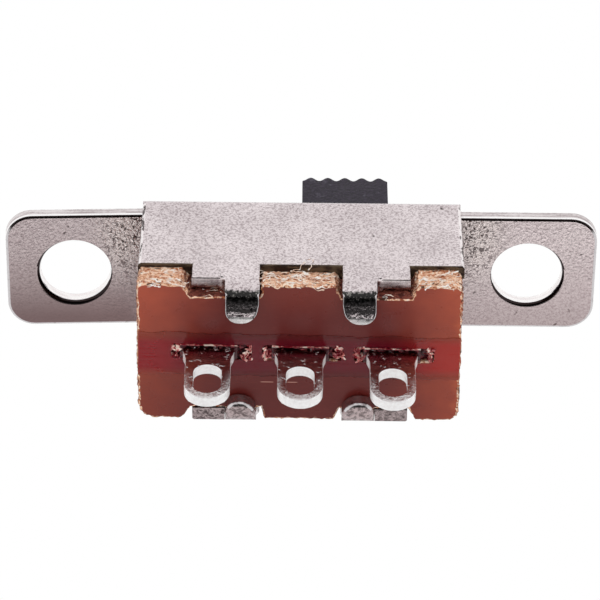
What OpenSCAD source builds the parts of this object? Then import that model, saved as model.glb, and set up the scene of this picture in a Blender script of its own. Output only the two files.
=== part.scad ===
// Miniature panel slide switch: one pole, two throws, two screw flanges.
// The origin is midway between the two mounting holes, on the knob side of the flanges.
// +Z is the way the knob stands, X is the way it slides, and every length is in millimetres.

/* [Sheet-metal frame] */
// Thickness of the steel sheet
sheet_t = 0.45; // [0.35:0.05:0.6]
// Overall length across both flanges
frame_l = 19.7; // [18.8:0.1:22]
// Width of the flanges
flange_w = 4.25; // [3.6:0.05:4.6]
// Corner radius of the flanges
flange_r = 0.9; // [0.4:0.1:1.6]
// Distance between the two mounting holes
hole_pitch = 15.1; // [14.8:0.1:16]
// Diameter of each mounting hole
hole_d = 2.35; // [2:0.05:2.8]
// Length of the channel that holds the mechanism
body_l = 10.5; // [10.2:0.05:11.5]
// Width of the channel over its two walls
body_w = 5.2; // [5:0.1:6]
// Depth of the walls below the flanges' top face
wall_h = 4.3; // [4:0.05:5.5]
// Inner radius of the bends between the plate and the walls
bend_r = 0.03; // [0.02:0.01:0.2]

/* [Clinching tabs] */
// Distance from the middle of the switch to a tab's inner side
tab_x = 1.32; // [1.1:0.02:1.5]
// Width of a tab where it leaves the wall
tab_w = 2.18; // [1.8:0.02:2.4]
// Length of the front tabs' shoulders below the wall's edge
front_shoulder_h = 0.8; // [0.6:0.05:1]
// Length of the rear tabs' shoulders below the wall's edge
rear_shoulder_h = 1.2; // [0.6:0.05:1.2]
// Width of the tongue that is bent under the wafer
tongue_w = 1.1; // [0.8:0.05:1.3]
// Reach of the two front tongues, from the wall's outer face
front_tongue_l = 1.1; // [1.05:0.05:1.4]
// Reach of the two rear tongues, from the wall's outer face
rear_tongue_l = 0.95; // [0.85:0.05:1.4]
// Narrowing of the tongue towards its tip, on its inner side
tongue_taper = 0.12; // [0.02:0.02:0.2]
// Corner radius at the tongue's tip
tongue_r = 0.35; // [0.15:0.05:0.38]
// Radius of the fillet between a front shoulder and its tongue
tab_fillet = 0.25; // [0.05:0.05:0.3]
// Width of the slit between a rear shoulder and its tongue
slit_w = 0.04; // [0.03:0.01:0.1]
// Height of that slit above the tongue's bend
slit_h = 0.15; // [0.1:0.05:0.3]
// Inner radius of the tongue's bend, which is also its gap to the wafer's notch
tab_bend_r = 0.06; // [0.04:0.01:0.12]

/* [Insulating wafer] */
// Length of the wafer
wafer_l = 10.4; // [10:0.05:11]
// Gap between the wafer's side and the wall's outer face
wafer_inset = 0.05; // [0:0.01:0.15]
// Thickness of the wafer
wafer_t = 1.2; // [1.1:0.05:1.6]
// Chamfer of the wafer's corners
wafer_chamfer = 0.3; // [0.1:0.05:0.6]
// Gap between a tab's side and the notch around it, at the notch's floor
notch_gap = 0.04; // [0.02:0.01:0.1]
// Flare of a notch towards the middle of the switch
flare_in = 0.15; // [0.05:0.05:0.3]
// Flare of a notch towards the end of the switch
flare_out = 0.24; // [0.05:0.01:0.4]

/* [Terminals] */
// Distance between neighbouring terminals
pitch = 2.95; // [2.85:0.05:3.2]
// Thickness of the terminal strip
strip_t = 0.35; // [0.25:0.05:0.4]
// Width of a terminal's contact blade
blade_w = 2.2; // [2:0.05:2.4]
// Height of a contact blade above the wafer
blade_h = 1.35; // [1:0.05:1.6]
// Gap between a blade and each end of its slot in the wafer
slot_end_gap = 0.22; // [0.1:0.01:0.25]
// Gap between a blade and each side of its slot in the wafer
slot_side_gap = 0.12; // [0.02:0.01:0.2]
// Length of the ribs that are staked against both faces of the wafer
rib_l = 1.5; // [1:0.05:1.7]
// Height of the staked ribs
rib_h = 0.15; // [0.1:0.01:0.2]
// Lap of the staked ribs over the slot's sides
rib_lap = 0.05; // [0.03:0.01:0.1]
// Width of the solder lug at its root
root_w = 1.65; // [1.6:0.05:2]
// Length of the lug's root below the wafer
root_h = 0.57; // [0.3:0.01:0.7]
// Width of the solder lug
lug_w = 1.45; // [1.4:0.05:1.7]
// Length of the solder lug below the wafer
lug_l = 2.98; // [2.8:0.02:4]
// Width of the oblong eye in the lug
eye_w = 0.9; // [0.6:0.05:1]
// Length of the oblong eye
eye_l = 1.62; // [1:0.02:1.8]
// Metal between the eye and the lug's tip
eye_margin = 0.3; // [0.2:0.02:0.5]

/* [Sealing varnish] */
// Distance from the middle line to the stripe's front edge
stripe_front = 0.7; // [0.5:0.05:1.2]
// Distance from the middle line to the stripe's rear edge
stripe_rear = 0.9; // [0.5:0.05:1.2]
// Thickness of the varnish stripe
stripe_t = 0.04; // [0.02:0.01:0.08]
// Depth of the varnish plugs' faces inside the slots
plug_recess = 0.1; // [0.05:0.05:0.3]
// Length of the varnish plugs along the slots' depth
plug_h = 0.7; // [0.3:0.05:0.8]

/* [Slider] */
// Travel of the slider between its two positions
travel = 2.95; // [2.85:0.05:3.2]
// Length of the knob along its travel
knob_l = 2.92; // [2.5:0.02:3.2]
// Width of the knob
knob_w = 2.0; // [1.4:0.1:2.4]
// Height of the knob above the flanges
knob_h = 4.15; // [3:0.05:6]
// Number of grip ridges on the knob
ridge_count = 5; // [3:1:7]
// Depth of the grooves between the ridges
ridge_d = 0.22; // [0.1:0.01:0.3]
// Gap between the knob and each end of its slot in the plate
knob_end_gap = 0.05; // [0.03:0.01:0.15]
// Gap between the knob and each side of its slot in the plate
knob_side_gap = 0.1; // [0.05:0.01:0.2]
// Length of the carriage inside the channel
carriage_l = 7.2; // [6.4:0.1:7.3]
// Corner radius of the carriage
carriage_r = 0.3; // [0.1:0.05:0.5]
// Gap between the carriage and each wall
carriage_side_gap = 0.1; // [0.05:0.01:0.2]
// Gap between the carriage and the plate above it
carriage_top_gap = 0.05; // [0.03:0.01:0.1]
// Gap between the carriage and the wafer below it
carriage_foot_gap = 0.1; // [0.05:0.01:0.2]
// Gap between the carriage and the blades' ribs that run along its channel
channel_gap = 0.1; // [0.05:0.01:0.2]

/* [Contact clip] */
// Thickness of the bronze strip
clip_t = 0.15; // [0.1:0.01:0.2]
// Length of the clip beyond its two contact ribs, at each end
clip_overhang = 0.6; // [0.4:0.05:0.8]
// Gap between the clip's arms and the blades, away from the contact ribs
arm_gap = 0.26; // [0.24:0.01:0.35]
// Running gap between the contact ribs and the blades
contact_gap = 0.02; // [0.01:0.01:0.05]
// Radius of the contact ribs
contact_r = 0.3; // [0.25:0.01:0.4]
// Gap between the clip's bridge and the blades' upper edges
bridge_gap = 0.12; // [0.08:0.01:0.2]
// Outer radius of the clip's bends
clip_bend_r = 0.2; // [0.16:0.01:0.25]
// Gap between the clip's arms and the staked ribs below them
arm_foot_gap = 0.1; // [0.05:0.01:0.2]
// Gap between the clip and the pocket that holds it
clip_fit = 0.02; // [0.01:0.01:0.05]

/* [Hidden] */
$fn = 64;

// Heights of the faces that stack up in the channel
plate_under = -sheet_t;
wafer_top = -wall_h;
wafer_bottom = wafer_top - wafer_t;
blade_top = wafer_top + blade_h;
rib_top = wafer_top + rib_h;
clip_top = blade_top + bridge_gap + clip_t;

// Places across the channel, measured from its middle plane
wall_out = body_w / 2;
wall_in = wall_out - sheet_t;
notch_floor = wall_in - tab_bend_r;
wafer_side = wall_out - wafer_inset;
slot_side = strip_t / 2 + slot_side_gap;
rib_side = slot_side + rib_lap;
arm_in = strip_t / 2 + arm_gap;
arm_out = arm_in + clip_t;

// Slots and rest place
slot_l = blade_w + 2 * slot_end_gap;
actuator_slot_l = knob_l + travel + 2 * knob_end_gap;
actuator_slot_w = knob_w + 2 * knob_side_gap;
ridge_pitch = knob_l / ridge_count;
clip_l = pitch + 2 * clip_overhang;
rest_x = travel / 2;
// Length by which joined shapes run into each other, and cutters run past a face
lap = 0.2;

// Rectangle with four round corners, about the origin
module rounded_rect(l, w, r) {
    square([l - 2 * r, w], center = true);
    square([l, w - 2 * r], center = true);
    for (sx = [-1, 1], sy = [-1, 1])
        translate([sx * (l / 2 - r), sy * (w / 2 - r)]) circle(r);
}

// Section with round upper corners, its top at zero and its foot at -h
module bent_top(w, h, r) {
    translate([-w / 2, -h]) square([w, h - r]);
    translate([-w / 2 + r, -h]) square([w - 2 * r, h]);
    for (s = [-1, 1]) translate([s * (w / 2 - r), -r]) circle(r);
}

// Sets a section drawn across the channel along X
module along_x(l) rotate([90, 0, 90]) linear_extrude(l, center = true) children();

// Copies a shape drawn on the +X side to both ends of the switch
module both_ends() for (sx = [0, 1]) mirror([sx, 0, 0]) children();

// ---------------------------------------------------------------- frame

// Plate of the two flanges, with the mounting holes
module flange_plate() {
    translate([0, 0, -sheet_t]) linear_extrude(sheet_t) difference() {
        rounded_rect(frame_l, flange_w, flange_r);
        for (s = [-1, 1]) translate([s * hole_pitch / 2, 0]) circle(d = hole_d);
    }
}

// Channel folded down from the plate, open at both ends
module channel() {
    along_x(body_l) difference() {
        bent_top(body_w, wall_h, bend_r + sheet_t);
        translate([0, plate_under]) bent_top(2 * wall_in, wall_h, bend_r);
    }
}

// Flat part of a tab: the root of the tongue and the shoulder beside it
module tab_outline(bend_z, shoulder_h) {
    shoulder_z = wafer_top - shoulder_h;
    tongue_x = tab_x + tongue_w;
    slit_top = bend_z + slit_h;
    translate([tab_x, bend_z]) square([tongue_w, wafer_top + lap - bend_z]);
    if (shoulder_z > bend_z) {
        translate([tab_x, shoulder_z]) square([tab_w, shoulder_h + lap]);
        translate([tongue_x, shoulder_z - tab_fillet]) difference() {
            translate([-lap, 0]) square([tab_fillet + lap, tab_fillet + lap]);
            translate([tab_fillet, 0]) circle(tab_fillet);
        }
    } else {
        // A shoulder that reaches past the bend is slit free of the tongue
        translate([tab_x, slit_top]) square([tab_w, wafer_top + lap - slit_top]);
        translate([tongue_x + slit_w, shoulder_z]) square([tab_w - tongue_w - slit_w, shoulder_h + lap]);
    }
}

// Tongue that lies under the wafer, with a round tip, for a reach from the wall's outer face
module tongue_leg(reach) {
    tip_y = wall_out - reach;
    leg_l = notch_floor - tip_y;
    round_x0 = tongue_taper + tongue_r;
    round_x1 = tongue_w - tongue_r;
    translate([tab_x, tip_y, wafer_bottom - sheet_t]) linear_extrude(sheet_t) {
        polygon([[tongue_taper, tongue_r], [round_x0, 0], [round_x1, 0],
                 [tongue_w, tongue_r], [tongue_w, leg_l], [0, leg_l]]);
        for (x = [round_x0, round_x1]) translate([x, tongue_r]) circle(tongue_r);
    }
}

// Quarter turn between the tab's flat part and its tongue
module tongue_bend() {
    outer_r = tab_bend_r + sheet_t;
    translate([tab_x + tongue_w / 2, notch_floor, wafer_bottom + tab_bend_r])
        along_x(tongue_w) difference() {
            intersection() {
                circle(outer_r);
                translate([0, -outer_r]) square(outer_r);
            }
            circle(tab_bend_r);
        }
}

// One clinching tab, on the +X +Y quarter
module tab(reach, shoulder_h) {
    translate([0, wall_out, 0]) rotate([90, 0, 0])
        linear_extrude(sheet_t) tab_outline(wafer_bottom + tab_bend_r, shoulder_h);
    tongue_bend();
    tongue_leg(reach);
}

module frame() {
    color([0.78, 0.76, 0.77]) difference() {
        union() {
            flange_plate();
            channel();
            both_ends() {
                tab(rear_tongue_l, rear_shoulder_h);
                mirror([0, 1, 0]) tab(front_tongue_l, front_shoulder_h);
            }
        }
        translate([0, 0, -sheet_t - lap]) linear_extrude(sheet_t + 2 * lap)
            square([actuator_slot_l, actuator_slot_w], center = true);
    }
}

// ---------------------------------------------------------------- wafer

// Wafer's outline with chamfered corners
module wafer_outline() {
    l = wafer_l / 2;
    w = wafer_side;
    c = wafer_chamfer;
    polygon([[l, w - c], [l - c, w], [c - l, w], [-l, w - c],
             [-l, c - w], [c - l, -w], [l - c, -w], [l, c - w]]);
}

// Notch that lets one tab pass, flared towards the wafer's edge
module notch_outline() {
    floor_x0 = tab_x - notch_gap;
    floor_x1 = tab_x + tab_w + notch_gap;
    depth = wafer_side - notch_floor;
    // The flares run on past the edge at the same slant
    reach = (depth + lap) / depth;
    polygon([[floor_x0, notch_floor], [floor_x1, notch_floor],
             [floor_x1 + flare_out * reach, notch_floor + depth * reach],
             [floor_x0 - flare_in * reach, notch_floor + depth * reach]]);
}

// Slot of one terminal
module slot_outline() square([slot_l, 2 * slot_side], center = true);

module wafer() {
    color([0.47, 0.24, 0.18]) translate([0, 0, wafer_bottom]) linear_extrude(wafer_t)
        difference() {
            wafer_outline();
            both_ends() for (sy = [0, 1]) mirror([0, sy, 0]) notch_outline();
            for (i = [-1:1]) translate([i * pitch, 0]) slot_outline();
        }
}

// ---------------------------------------------------------------- terminals

// Oblong eye, upright
module eye_outline() {
    square([eye_w, eye_l - eye_w], center = true);
    for (s = [-1, 1]) translate([0, s * (eye_l - eye_w) / 2]) circle(d = eye_w);
}

// Terminal seen from the front: blade, root and round-ended lug
module terminal_outline() {
    tip_z = wafer_bottom - lug_l;
    difference() {
        union() {
            translate([-blade_w / 2, wafer_bottom]) square([blade_w, wafer_t + blade_h]);
            translate([-root_w / 2, wafer_bottom - root_h]) square([root_w, root_h + lap]);
            translate([-lug_w / 2, tip_z + lug_w / 2])
                square([lug_w, lug_l - lug_w / 2 + lap]);
            translate([0, tip_z + lug_w / 2]) circle(d = lug_w);
        }
        translate([0, tip_z + eye_margin + eye_l / 2]) eye_outline();
    }
}

// Ribs staked against the upper and lower faces of the wafer
module staked_ribs() {
    for (z = [wafer_top, wafer_bottom - rib_h])
        translate([-rib_l / 2, -rib_side, z]) cube([rib_l, 2 * rib_side, rib_h]);
}

module terminal(x) {
    color([0.84, 0.82, 0.8]) translate([x, 0, 0]) {
        translate([0, strip_t / 2, 0]) rotate([90, 0, 0])
            linear_extrude(strip_t) terminal_outline();
        staked_ribs();
    }
}

// ---------------------------------------------------------------- sealing varnish

// Varnish in one slot, around the blade
module varnish_plug() {
    translate([0, 0, wafer_bottom + plug_recess]) linear_extrude(plug_h) difference() {
        slot_outline();
        square([blade_w, strip_t], center = true);
    }
}

module sealing_varnish() {
    color([0.42, 0.06, 0.09]) {
        translate([0, 0, wafer_bottom - stripe_t]) linear_extrude(stripe_t) difference() {
            translate([-wafer_l / 2, -stripe_front])
                square([wafer_l, stripe_front + stripe_rear]);
            for (i = [-1:1]) translate([i * pitch, 0]) {
                slot_outline();
                square([rib_l, 2 * rib_side], center = true);
            }
        }
        for (i = [-1:1]) translate([i * pitch, 0, 0]) varnish_plug();
    }
}

// ---------------------------------------------------------------- slider

// Height of the knob's top at a distance from its left side: round ridges
function ridge_z(u) = knob_h - ridge_d * (1 + cos(360 * u / ridge_pitch)) / 2;

// Knob seen from the front, with its ridges
module knob_outline(foot_z) {
    steps = 12 * ridge_count;
    crest = [for (i = [0:steps])
        let (u = i * knob_l / steps) [u - knob_l / 2, ridge_z(u)]];
    polygon(concat([[-knob_l / 2, foot_z]], crest, [[knob_l / 2, foot_z]]));
}

// Carriage under the plate, with the channel for the blades and the clip's pocket
module carriage() {
    foot_z = wafer_top + carriage_foot_gap;
    head_z = plate_under - carriage_top_gap;
    channel_side = rib_side + channel_gap;
    pocket_side = arm_out + clip_fit;
    difference() {
        translate([0, 0, foot_z]) linear_extrude(head_z - foot_z)
            rounded_rect(carriage_l, 2 * (wall_in - carriage_side_gap), carriage_r);
        translate([-carriage_l / 2 - lap, -channel_side, foot_z - lap])
            cube([carriage_l + 2 * lap, 2 * channel_side, blade_top + bridge_gap - foot_z + lap]);
        translate([-clip_l / 2 - clip_fit, -pocket_side, foot_z - lap])
            cube([clip_l + 2 * clip_fit, 2 * pocket_side, clip_top - foot_z + lap]);
    }
}

module slider() {
    head_z = plate_under - carriage_top_gap;
    color([0.17, 0.15, 0.18]) translate([rest_x, 0, 0]) {
        carriage();
        translate([0, knob_w / 2, 0]) rotate([90, 0, 0])
            linear_extrude(knob_w) knob_outline(head_z - lap);
    }
}

// ---------------------------------------------------------------- contact clip

// Rib pressed inwards from one arm, which touches a blade
module contact_rib(foot_z) {
    rib_y = strip_t / 2 + contact_gap + contact_r;
    translate([0, 0, foot_z]) linear_extrude(blade_top - foot_z) intersection() {
        translate([0, rib_y]) circle(contact_r);
        translate([-contact_r, 0]) square([2 * contact_r, arm_out]);
    }
}

module contact_clip() {
    foot_z = rib_top + arm_foot_gap;
    height = clip_top - foot_z;
    color([0.72, 0.5, 0.3]) translate([rest_x, 0, 0]) {
        translate([0, 0, clip_top]) along_x(clip_l) difference() {
            bent_top(2 * arm_out, height, clip_bend_r);
            translate([0, -clip_t]) bent_top(2 * arm_in, height, clip_bend_r - clip_t);
        }
        for (sx = [-1, 1], sy = [0, 1])
            translate([sx * pitch / 2, 0, 0]) mirror([0, sy, 0]) contact_rib(foot_z);
    }
}

frame();
wafer();
terminal(-pitch);  // terminal_left
terminal(0);  // terminal_common
terminal(pitch);  // terminal_right
sealing_varnish();
slider();
contact_clip();
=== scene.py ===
"""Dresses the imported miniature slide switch: folded frame, wafer, terminals, varnish, slider and clip.

Pieces are shaped in millimetres in the CAD frame and scaled to metres when they are finished.
"""

import contextlib
import logging
import math
import random
from collections.abc import Callable, Iterator
from dataclasses import dataclass, field
from enum import Enum

import bmesh
import bpy
from mathutils import Matrix, Vector


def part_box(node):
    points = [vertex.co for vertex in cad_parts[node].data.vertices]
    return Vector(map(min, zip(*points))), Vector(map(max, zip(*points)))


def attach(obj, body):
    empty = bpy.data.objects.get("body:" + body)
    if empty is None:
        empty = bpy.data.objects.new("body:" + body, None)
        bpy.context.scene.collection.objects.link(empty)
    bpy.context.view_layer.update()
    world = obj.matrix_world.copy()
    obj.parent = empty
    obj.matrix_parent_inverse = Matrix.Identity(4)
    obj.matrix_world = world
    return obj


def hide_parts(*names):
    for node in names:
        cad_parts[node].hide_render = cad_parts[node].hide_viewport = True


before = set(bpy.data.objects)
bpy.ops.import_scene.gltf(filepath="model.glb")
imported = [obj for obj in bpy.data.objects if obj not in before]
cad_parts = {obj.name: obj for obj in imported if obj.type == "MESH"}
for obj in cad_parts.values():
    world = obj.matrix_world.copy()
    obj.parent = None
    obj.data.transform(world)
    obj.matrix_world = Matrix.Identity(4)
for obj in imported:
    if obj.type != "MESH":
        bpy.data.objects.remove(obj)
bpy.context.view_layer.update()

log = logging.getLogger("slide_switch")

MM = 0.001
# Places that agree within this are the same place, and doubles closer than the other merge
TOUCH = 1e-4
MERGE = 1e-5
# Edges sharper than this are rounded
CREASE_DEG = 40.0
# Left flange: where its lean starts, left of the middle, and how far it leans
LEAN_START = 5.25
LEAN_DEG = 2.7
# Terminals: their distance, how far their slots are off their line, and how askew the row stands
PITCH = 2.95
SLOT_SHIFT = 0.07
ROW_SKEW_DEG = 0.75

Point = tuple[float, float, float]
Colour = tuple[float, float, float]
Pair = tuple[float, float]
Row = tuple[float, float, float, int]
Test = Callable[..., bool]
ORIGIN: Point = (0.0, 0.0, 0.0)
EASTWARD: Point = (1.0, 0.0, 0.0)


class Body(str, Enum):
    """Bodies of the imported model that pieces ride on."""

    HOUSING = "housing"
    SLIDER = "slider"


class Slot(str, Enum):
    """Material slots of the record."""

    STEEL = "nickel_plated_steel"
    WAFER = "phenolic_paper"
    TERMINAL = "plated_brass"
    VARNISH = "red_varnish"
    PLASTIC = "black_plastic"


class Element(Enum):
    """What a pick selects."""

    VERT = "VERT"
    EDGE = "EDGE"
    FACE = "FACE"


def near(value: float, target: float, slack: float = TOUCH) -> bool:
    """Whether two lengths agree within a slack."""
    return abs(value - target) <= slack


def in_x(x: float) -> Point:
    """A move, or a place, along X."""
    return (x, 0.0, 0.0)


def in_z(z: float) -> Point:
    """A move, or a place, along Z."""
    return (0.0, 0.0, z)


def stations(shift: float = 0.0) -> list[float]:
    """Places along X of the three terminals, moved by a shift."""
    return [step * PITCH + shift for step in (-1, 0, 1)]


def node_box(node: str) -> tuple[Vector, Vector]:
    """Lowest and highest corner of a CAD node, in millimetres.

    Args:
        node: the CAD node's name.

    Returns:
        The two corners.
    """
    low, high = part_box(node)
    return Vector(low) / MM, Vector(high) / MM


def apply_place() -> None:
    """Moves the place, turn and size of the selected objects into their meshes."""
    bpy.ops.object.transform_apply(location=True, rotation=True, scale=True)


# ---------------------------------------------------------------- the bench


class Workpiece:
    """A mesh shaped in millimetres with the edit-mode tools, then finished in metres."""

    def __init__(self, obj: bpy.types.Object) -> None:
        """Takes an object in hand.

        Args:
            obj: the mesh object, at the origin, unturned and unscaled.
        """
        self.obj = obj

    # ------------------------------------------------ starting shapes

    @staticmethod
    def _take(name: str, low: Point, high: Point) -> "Workpiece":
        """Stretches the active unit primitive between two corners and names it.

        Args:
            name: the new piece's name.
            low: its lowest corner.
            high: its highest corner.

        Returns:
            The piece.
        """
        obj = bpy.context.active_object
        obj.name = obj.data.name = name
        obj.location = [(a + b) / 2 for a, b in zip(low, high)]
        obj.scale = [b - a if b > a else 1.0 for a, b in zip(low, high)]
        apply_place()
        return Workpiece(obj)

    @classmethod
    def box(cls, name: str, low: Point, high: Point) -> "Workpiece":
        """A box between two corners."""
        bpy.ops.object.select_all(action="DESELECT")
        bpy.ops.mesh.primitive_cube_add(size=1)
        return cls._take(name, low, high)

    @classmethod
    def slab(cls, name: str, low: Point, high: Point, bands: dict[int, float]) -> "Workpiece":
        """A box between two corners, cut into bands.

        Args:
            name: the new piece's name.
            low: its lowest corner.
            high: its highest corner.
            bands: the bands' width for each axis that is cut.

        Returns:
            The piece.
        """
        piece = cls.box(name, low, high)
        with piece.edit():
            for axis, step in bands.items():
                piece.comb(axis, low[axis], high[axis], step)
        return piece

    @classmethod
    def sheet(cls, name: str, low: Point, high: Point, columns: int = 1, rows: int = 1) -> "Workpiece":
        """A flat sheet between two corners of one height, cut into columns and rows."""
        bpy.ops.object.select_all(action="DESELECT")
        bpy.ops.mesh.primitive_grid_add(x_subdivisions=columns, y_subdivisions=rows, size=1)
        return cls._take(name, low, high)

    @classmethod
    def rod(cls, name: str, radius: float, low: Point, high: Point, sides: int = 64) -> "Workpiece":
        """A rod of round section between the centres of its two ends.

        Args:
            name: the new piece's name.
            radius: the rod's radius.
            low: the centre of one end.
            high: the centre of the other end.
            sides: how many sides stand for the round.

        Returns:
            The piece.
        """
        start, end = Vector(low), Vector(high)
        bpy.ops.object.select_all(action="DESELECT")
        bpy.ops.mesh.primitive_cylinder_add(
            vertices=sides, radius=radius, depth=(end - start).length,
            location=(start + end) / 2,
            rotation=(end - start).to_track_quat("Z", "Y").to_euler())
        obj = bpy.context.active_object
        obj.name = obj.data.name = name
        apply_place()
        return cls(obj)

    # ------------------------------------------------ selecting

    def hold(self) -> None:
        """Makes this piece the only selected and active object."""
        bpy.ops.object.select_all(action="DESELECT")
        self.obj.select_set(True)
        bpy.context.view_layer.objects.active = self.obj

    @contextlib.contextmanager
    def edit(self) -> Iterator[None]:
        """Edit mode on this piece, for as long as the block runs."""
        self.hold()
        bpy.ops.object.mode_set(mode="EDIT")
        try:
            yield
        finally:
            bpy.ops.object.mode_set(mode="OBJECT")

    def _select(self, element: Element, wanted: Test) -> "Workpiece":
        """Selects only the elements that are wanted, inside edit mode.

        Args:
            element: verts, edges or faces.
            wanted: says whether an element is wanted.

        Returns:
            This piece, so that what is done to the selection can follow.
        """
        bpy.ops.mesh.select_mode(type=element.value)
        bpy.ops.mesh.select_all(action="DESELECT")
        mesh = bmesh.from_edit_mesh(self.obj.data)
        group = {Element.VERT: mesh.verts, Element.EDGE: mesh.edges, Element.FACE: mesh.faces}
        for item in group[element]:
            if wanted(item):
                item.select_set(True)
        mesh.select_flush_mode()
        bmesh.update_edit_mesh(self.obj.data)
        return self

    def corners(self, test: Test) -> "Workpiece":
        """Selects the corners whose place passes a test."""
        return self._select(Element.VERT, lambda vert: test(vert.co))

    def edges(self, test: Test) -> "Workpiece":
        """Selects the edges whose two ends pass a test."""
        return self._select(Element.EDGE, lambda edge: all(test(v.co) for v in edge.verts))

    def creases(self, test: Test) -> "Workpiece":
        """Selects the sharp edges whose two ends pass a test."""
        least = math.radians(CREASE_DEG)
        return self._select(Element.EDGE, lambda edge: len(edge.link_faces) == 2
                            and edge.calc_face_angle(0.0) > least and all(test(v.co) for v in edge.verts))

    def faces(self, test: Test) -> "Workpiece":
        """Selects the faces whose centre and normal pass a test."""
        return self._select(Element.FACE, lambda face: test(face.calc_center_median(), face.normal))

    def everything(self) -> "Workpiece":
        """Selects all of the piece, inside edit mode."""
        bpy.ops.mesh.select_all(action="SELECT")
        return self

    # ------------------------------------------------ shaping in edit mode

    def bevel(self, width: float, segments: int = 3, flat: bool = False, clamp: bool = True) -> None:
        """Rounds the selected edges, or the selected corners of a flat sheet."""
        bpy.ops.mesh.bevel(offset=width, offset_type="OFFSET", segments=segments, profile=0.5,
                           affect="VERTICES" if flat else "EDGES", clamp_overlap=clamp,
                           loop_slide=True)

    def extrude(self, move: Point) -> None:
        """Extrudes the selection along a move."""
        bpy.ops.mesh.extrude_region_move(TRANSFORM_OT_translate={"value": move})

    def spin(self, centre: Point, axis: Point, angle_deg: float, steps: int) -> None:
        """Sweeps the selected edges about an axis, right-handed."""
        bpy.ops.mesh.spin(steps=steps, angle=math.radians(-angle_deg), center=centre, axis=axis,
                          use_auto_merge=False)

    def cut(self, at: Point, normal: Point) -> None:
        """Cuts the selected faces with a plane."""
        bpy.ops.mesh.bisect(plane_co=at, plane_no=normal, threshold=MERGE)

    def move(self, by: Point) -> None:
        """Moves the selection."""
        bpy.ops.transform.translate(value=by)

    def turn(self, angle_deg: float, axis: str = "Z", centre: Point = ORIGIN) -> None:
        """Turns the selection about an axis through a centre, right-handed."""
        bpy.ops.transform.rotate(value=math.radians(-angle_deg), orient_axis=axis, center_override=centre)

    def swell(self, size: Point, centre: Point = ORIGIN) -> None:
        """Stretches the selection from a centre."""
        bpy.ops.transform.resize(value=size, center_override=centre)

    def weld(self, reach: float = MERGE) -> None:
        """Merges the corners that lie closer than a reach."""
        self.everything()
        bpy.ops.mesh.remove_doubles(threshold=reach)

    def comb(self, axis: int, start: float, stop: float, step: float) -> None:
        """Cuts the visible faces into equal bands across one axis.

        Args:
            axis: 0, 1 or 2.
            start: the first place that may be cut.
            stop: the last place that may be cut.
            step: the bands' width.
        """
        count = max(1, round((stop - start) / step))
        for index in range(1, count):
            at = [0.0, 0.0, 0.0]
            at[axis] = start + (stop - start) * index / count
            normal = [float(k == axis) for k in range(3)]
            self.everything().cut(tuple(at), tuple(normal))

    def face_out(self) -> None:
        """Merges doubles and points every face outwards."""
        with self.edit():
            self.weld()
            bpy.ops.mesh.normals_make_consistent(inside=False)

    # ------------------------------------------------ modifiers

    def apply(self, kind: str, **settings: object) -> None:
        """Adds a modifier with settings and applies it.

        Args:
            kind: Blender's name for the modifier's type.
            **settings: its properties.
        """
        modifier = self.obj.modifiers.new(kind.lower(), kind)
        for key, value in settings.items():
            setattr(modifier, key, value)
        self.hold()
        bpy.ops.object.modifier_apply(modifier=modifier.name)

    def _boolean(self, other: "Workpiece", operation: str) -> None:
        """Combines with another piece, which is used up."""
        self.apply("BOOLEAN", object=other.obj, operation=operation, solver="EXACT")
        bpy.data.meshes.remove(other.obj.data)

    def minus(self, other: "Workpiece") -> "Workpiece":
        """Cuts another piece away, which is used up."""
        self._boolean(other, "DIFFERENCE")
        return self

    def plus(self, other: "Workpiece") -> "Workpiece":
        """Fuses another piece on, which is used up."""
        self._boolean(other, "UNION")
        return self

    def soften(self, width: float) -> None:
        """Rounds every sharp edge a little."""
        self.apply("BEVEL", width=width, segments=2, limit_method="ANGLE",
                   angle_limit=math.radians(CREASE_DEG), use_clamp_overlap=True,
                   loop_slide=True, miter_outer="MITER_ARC")

    def weigh(self, name: str, test: Test) -> str:
        """Makes a group of the corners that pass a test and returns its name."""
        group = self.obj.vertex_groups.new(name=name)
        group.add([v.index for v in self.obj.data.vertices if test(v.co)], 1.0, "REPLACE")
        return name

    def ruffle(self, axes: str, depth: float, grain: float, group: str = "") -> None:
        """Pushes the surface about with cloudy noise.

        Args:
            axes: the directions to push in, such as XY.
            depth: the whole height of the ruffles.
            grain: the size of the clouds.
            group: the group of corners that may move, or all of them.
        """
        for axis, basis in zip(axes, ("BLENDER_ORIGINAL", "ORIGINAL_PERLIN", "IMPROVED_PERLIN")):
            texture = bpy.data.textures.new("ruffle", "CLOUDS")
            texture.noise_basis = basis
            texture.noise_scale = grain
            texture.noise_depth = 2
            self.apply("DISPLACE", texture=texture, texture_coords="LOCAL", direction=axis,
                       strength=depth, mid_level=0.5, vertex_group=group)
            bpy.data.textures.remove(texture)

    def copy(self) -> "Workpiece":
        """A copy with a mesh of its own."""
        self.hold()
        bpy.ops.object.duplicate(linked=False)
        return Workpiece(bpy.context.active_object)

    def place(self, at: Point, turn_deg: Point = ORIGIN, size: Point = (1.0, 1.0, 1.0)) -> None:
        """Turns, stretches and moves the whole piece.

        Args:
            at: where the piece's origin goes.
            turn_deg: its turns about X, Y and Z.
            size: its stretch along X, Y and Z.
        """
        self.hold()
        self.obj.scale = size
        self.obj.rotation_euler = [math.radians(t) for t in turn_deg]
        self.obj.location = at
        apply_place()

    def gather(self, others: list["Workpiece"]) -> None:
        """Joins other pieces to this one without fusing them.

        Args:
            others: the pieces to join, which are used up.
        """
        if not others:
            return
        self.hold()
        for other in others:
            other.obj.select_set(True)
        bpy.ops.object.join()

    # ------------------------------------------------ finishing

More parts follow.
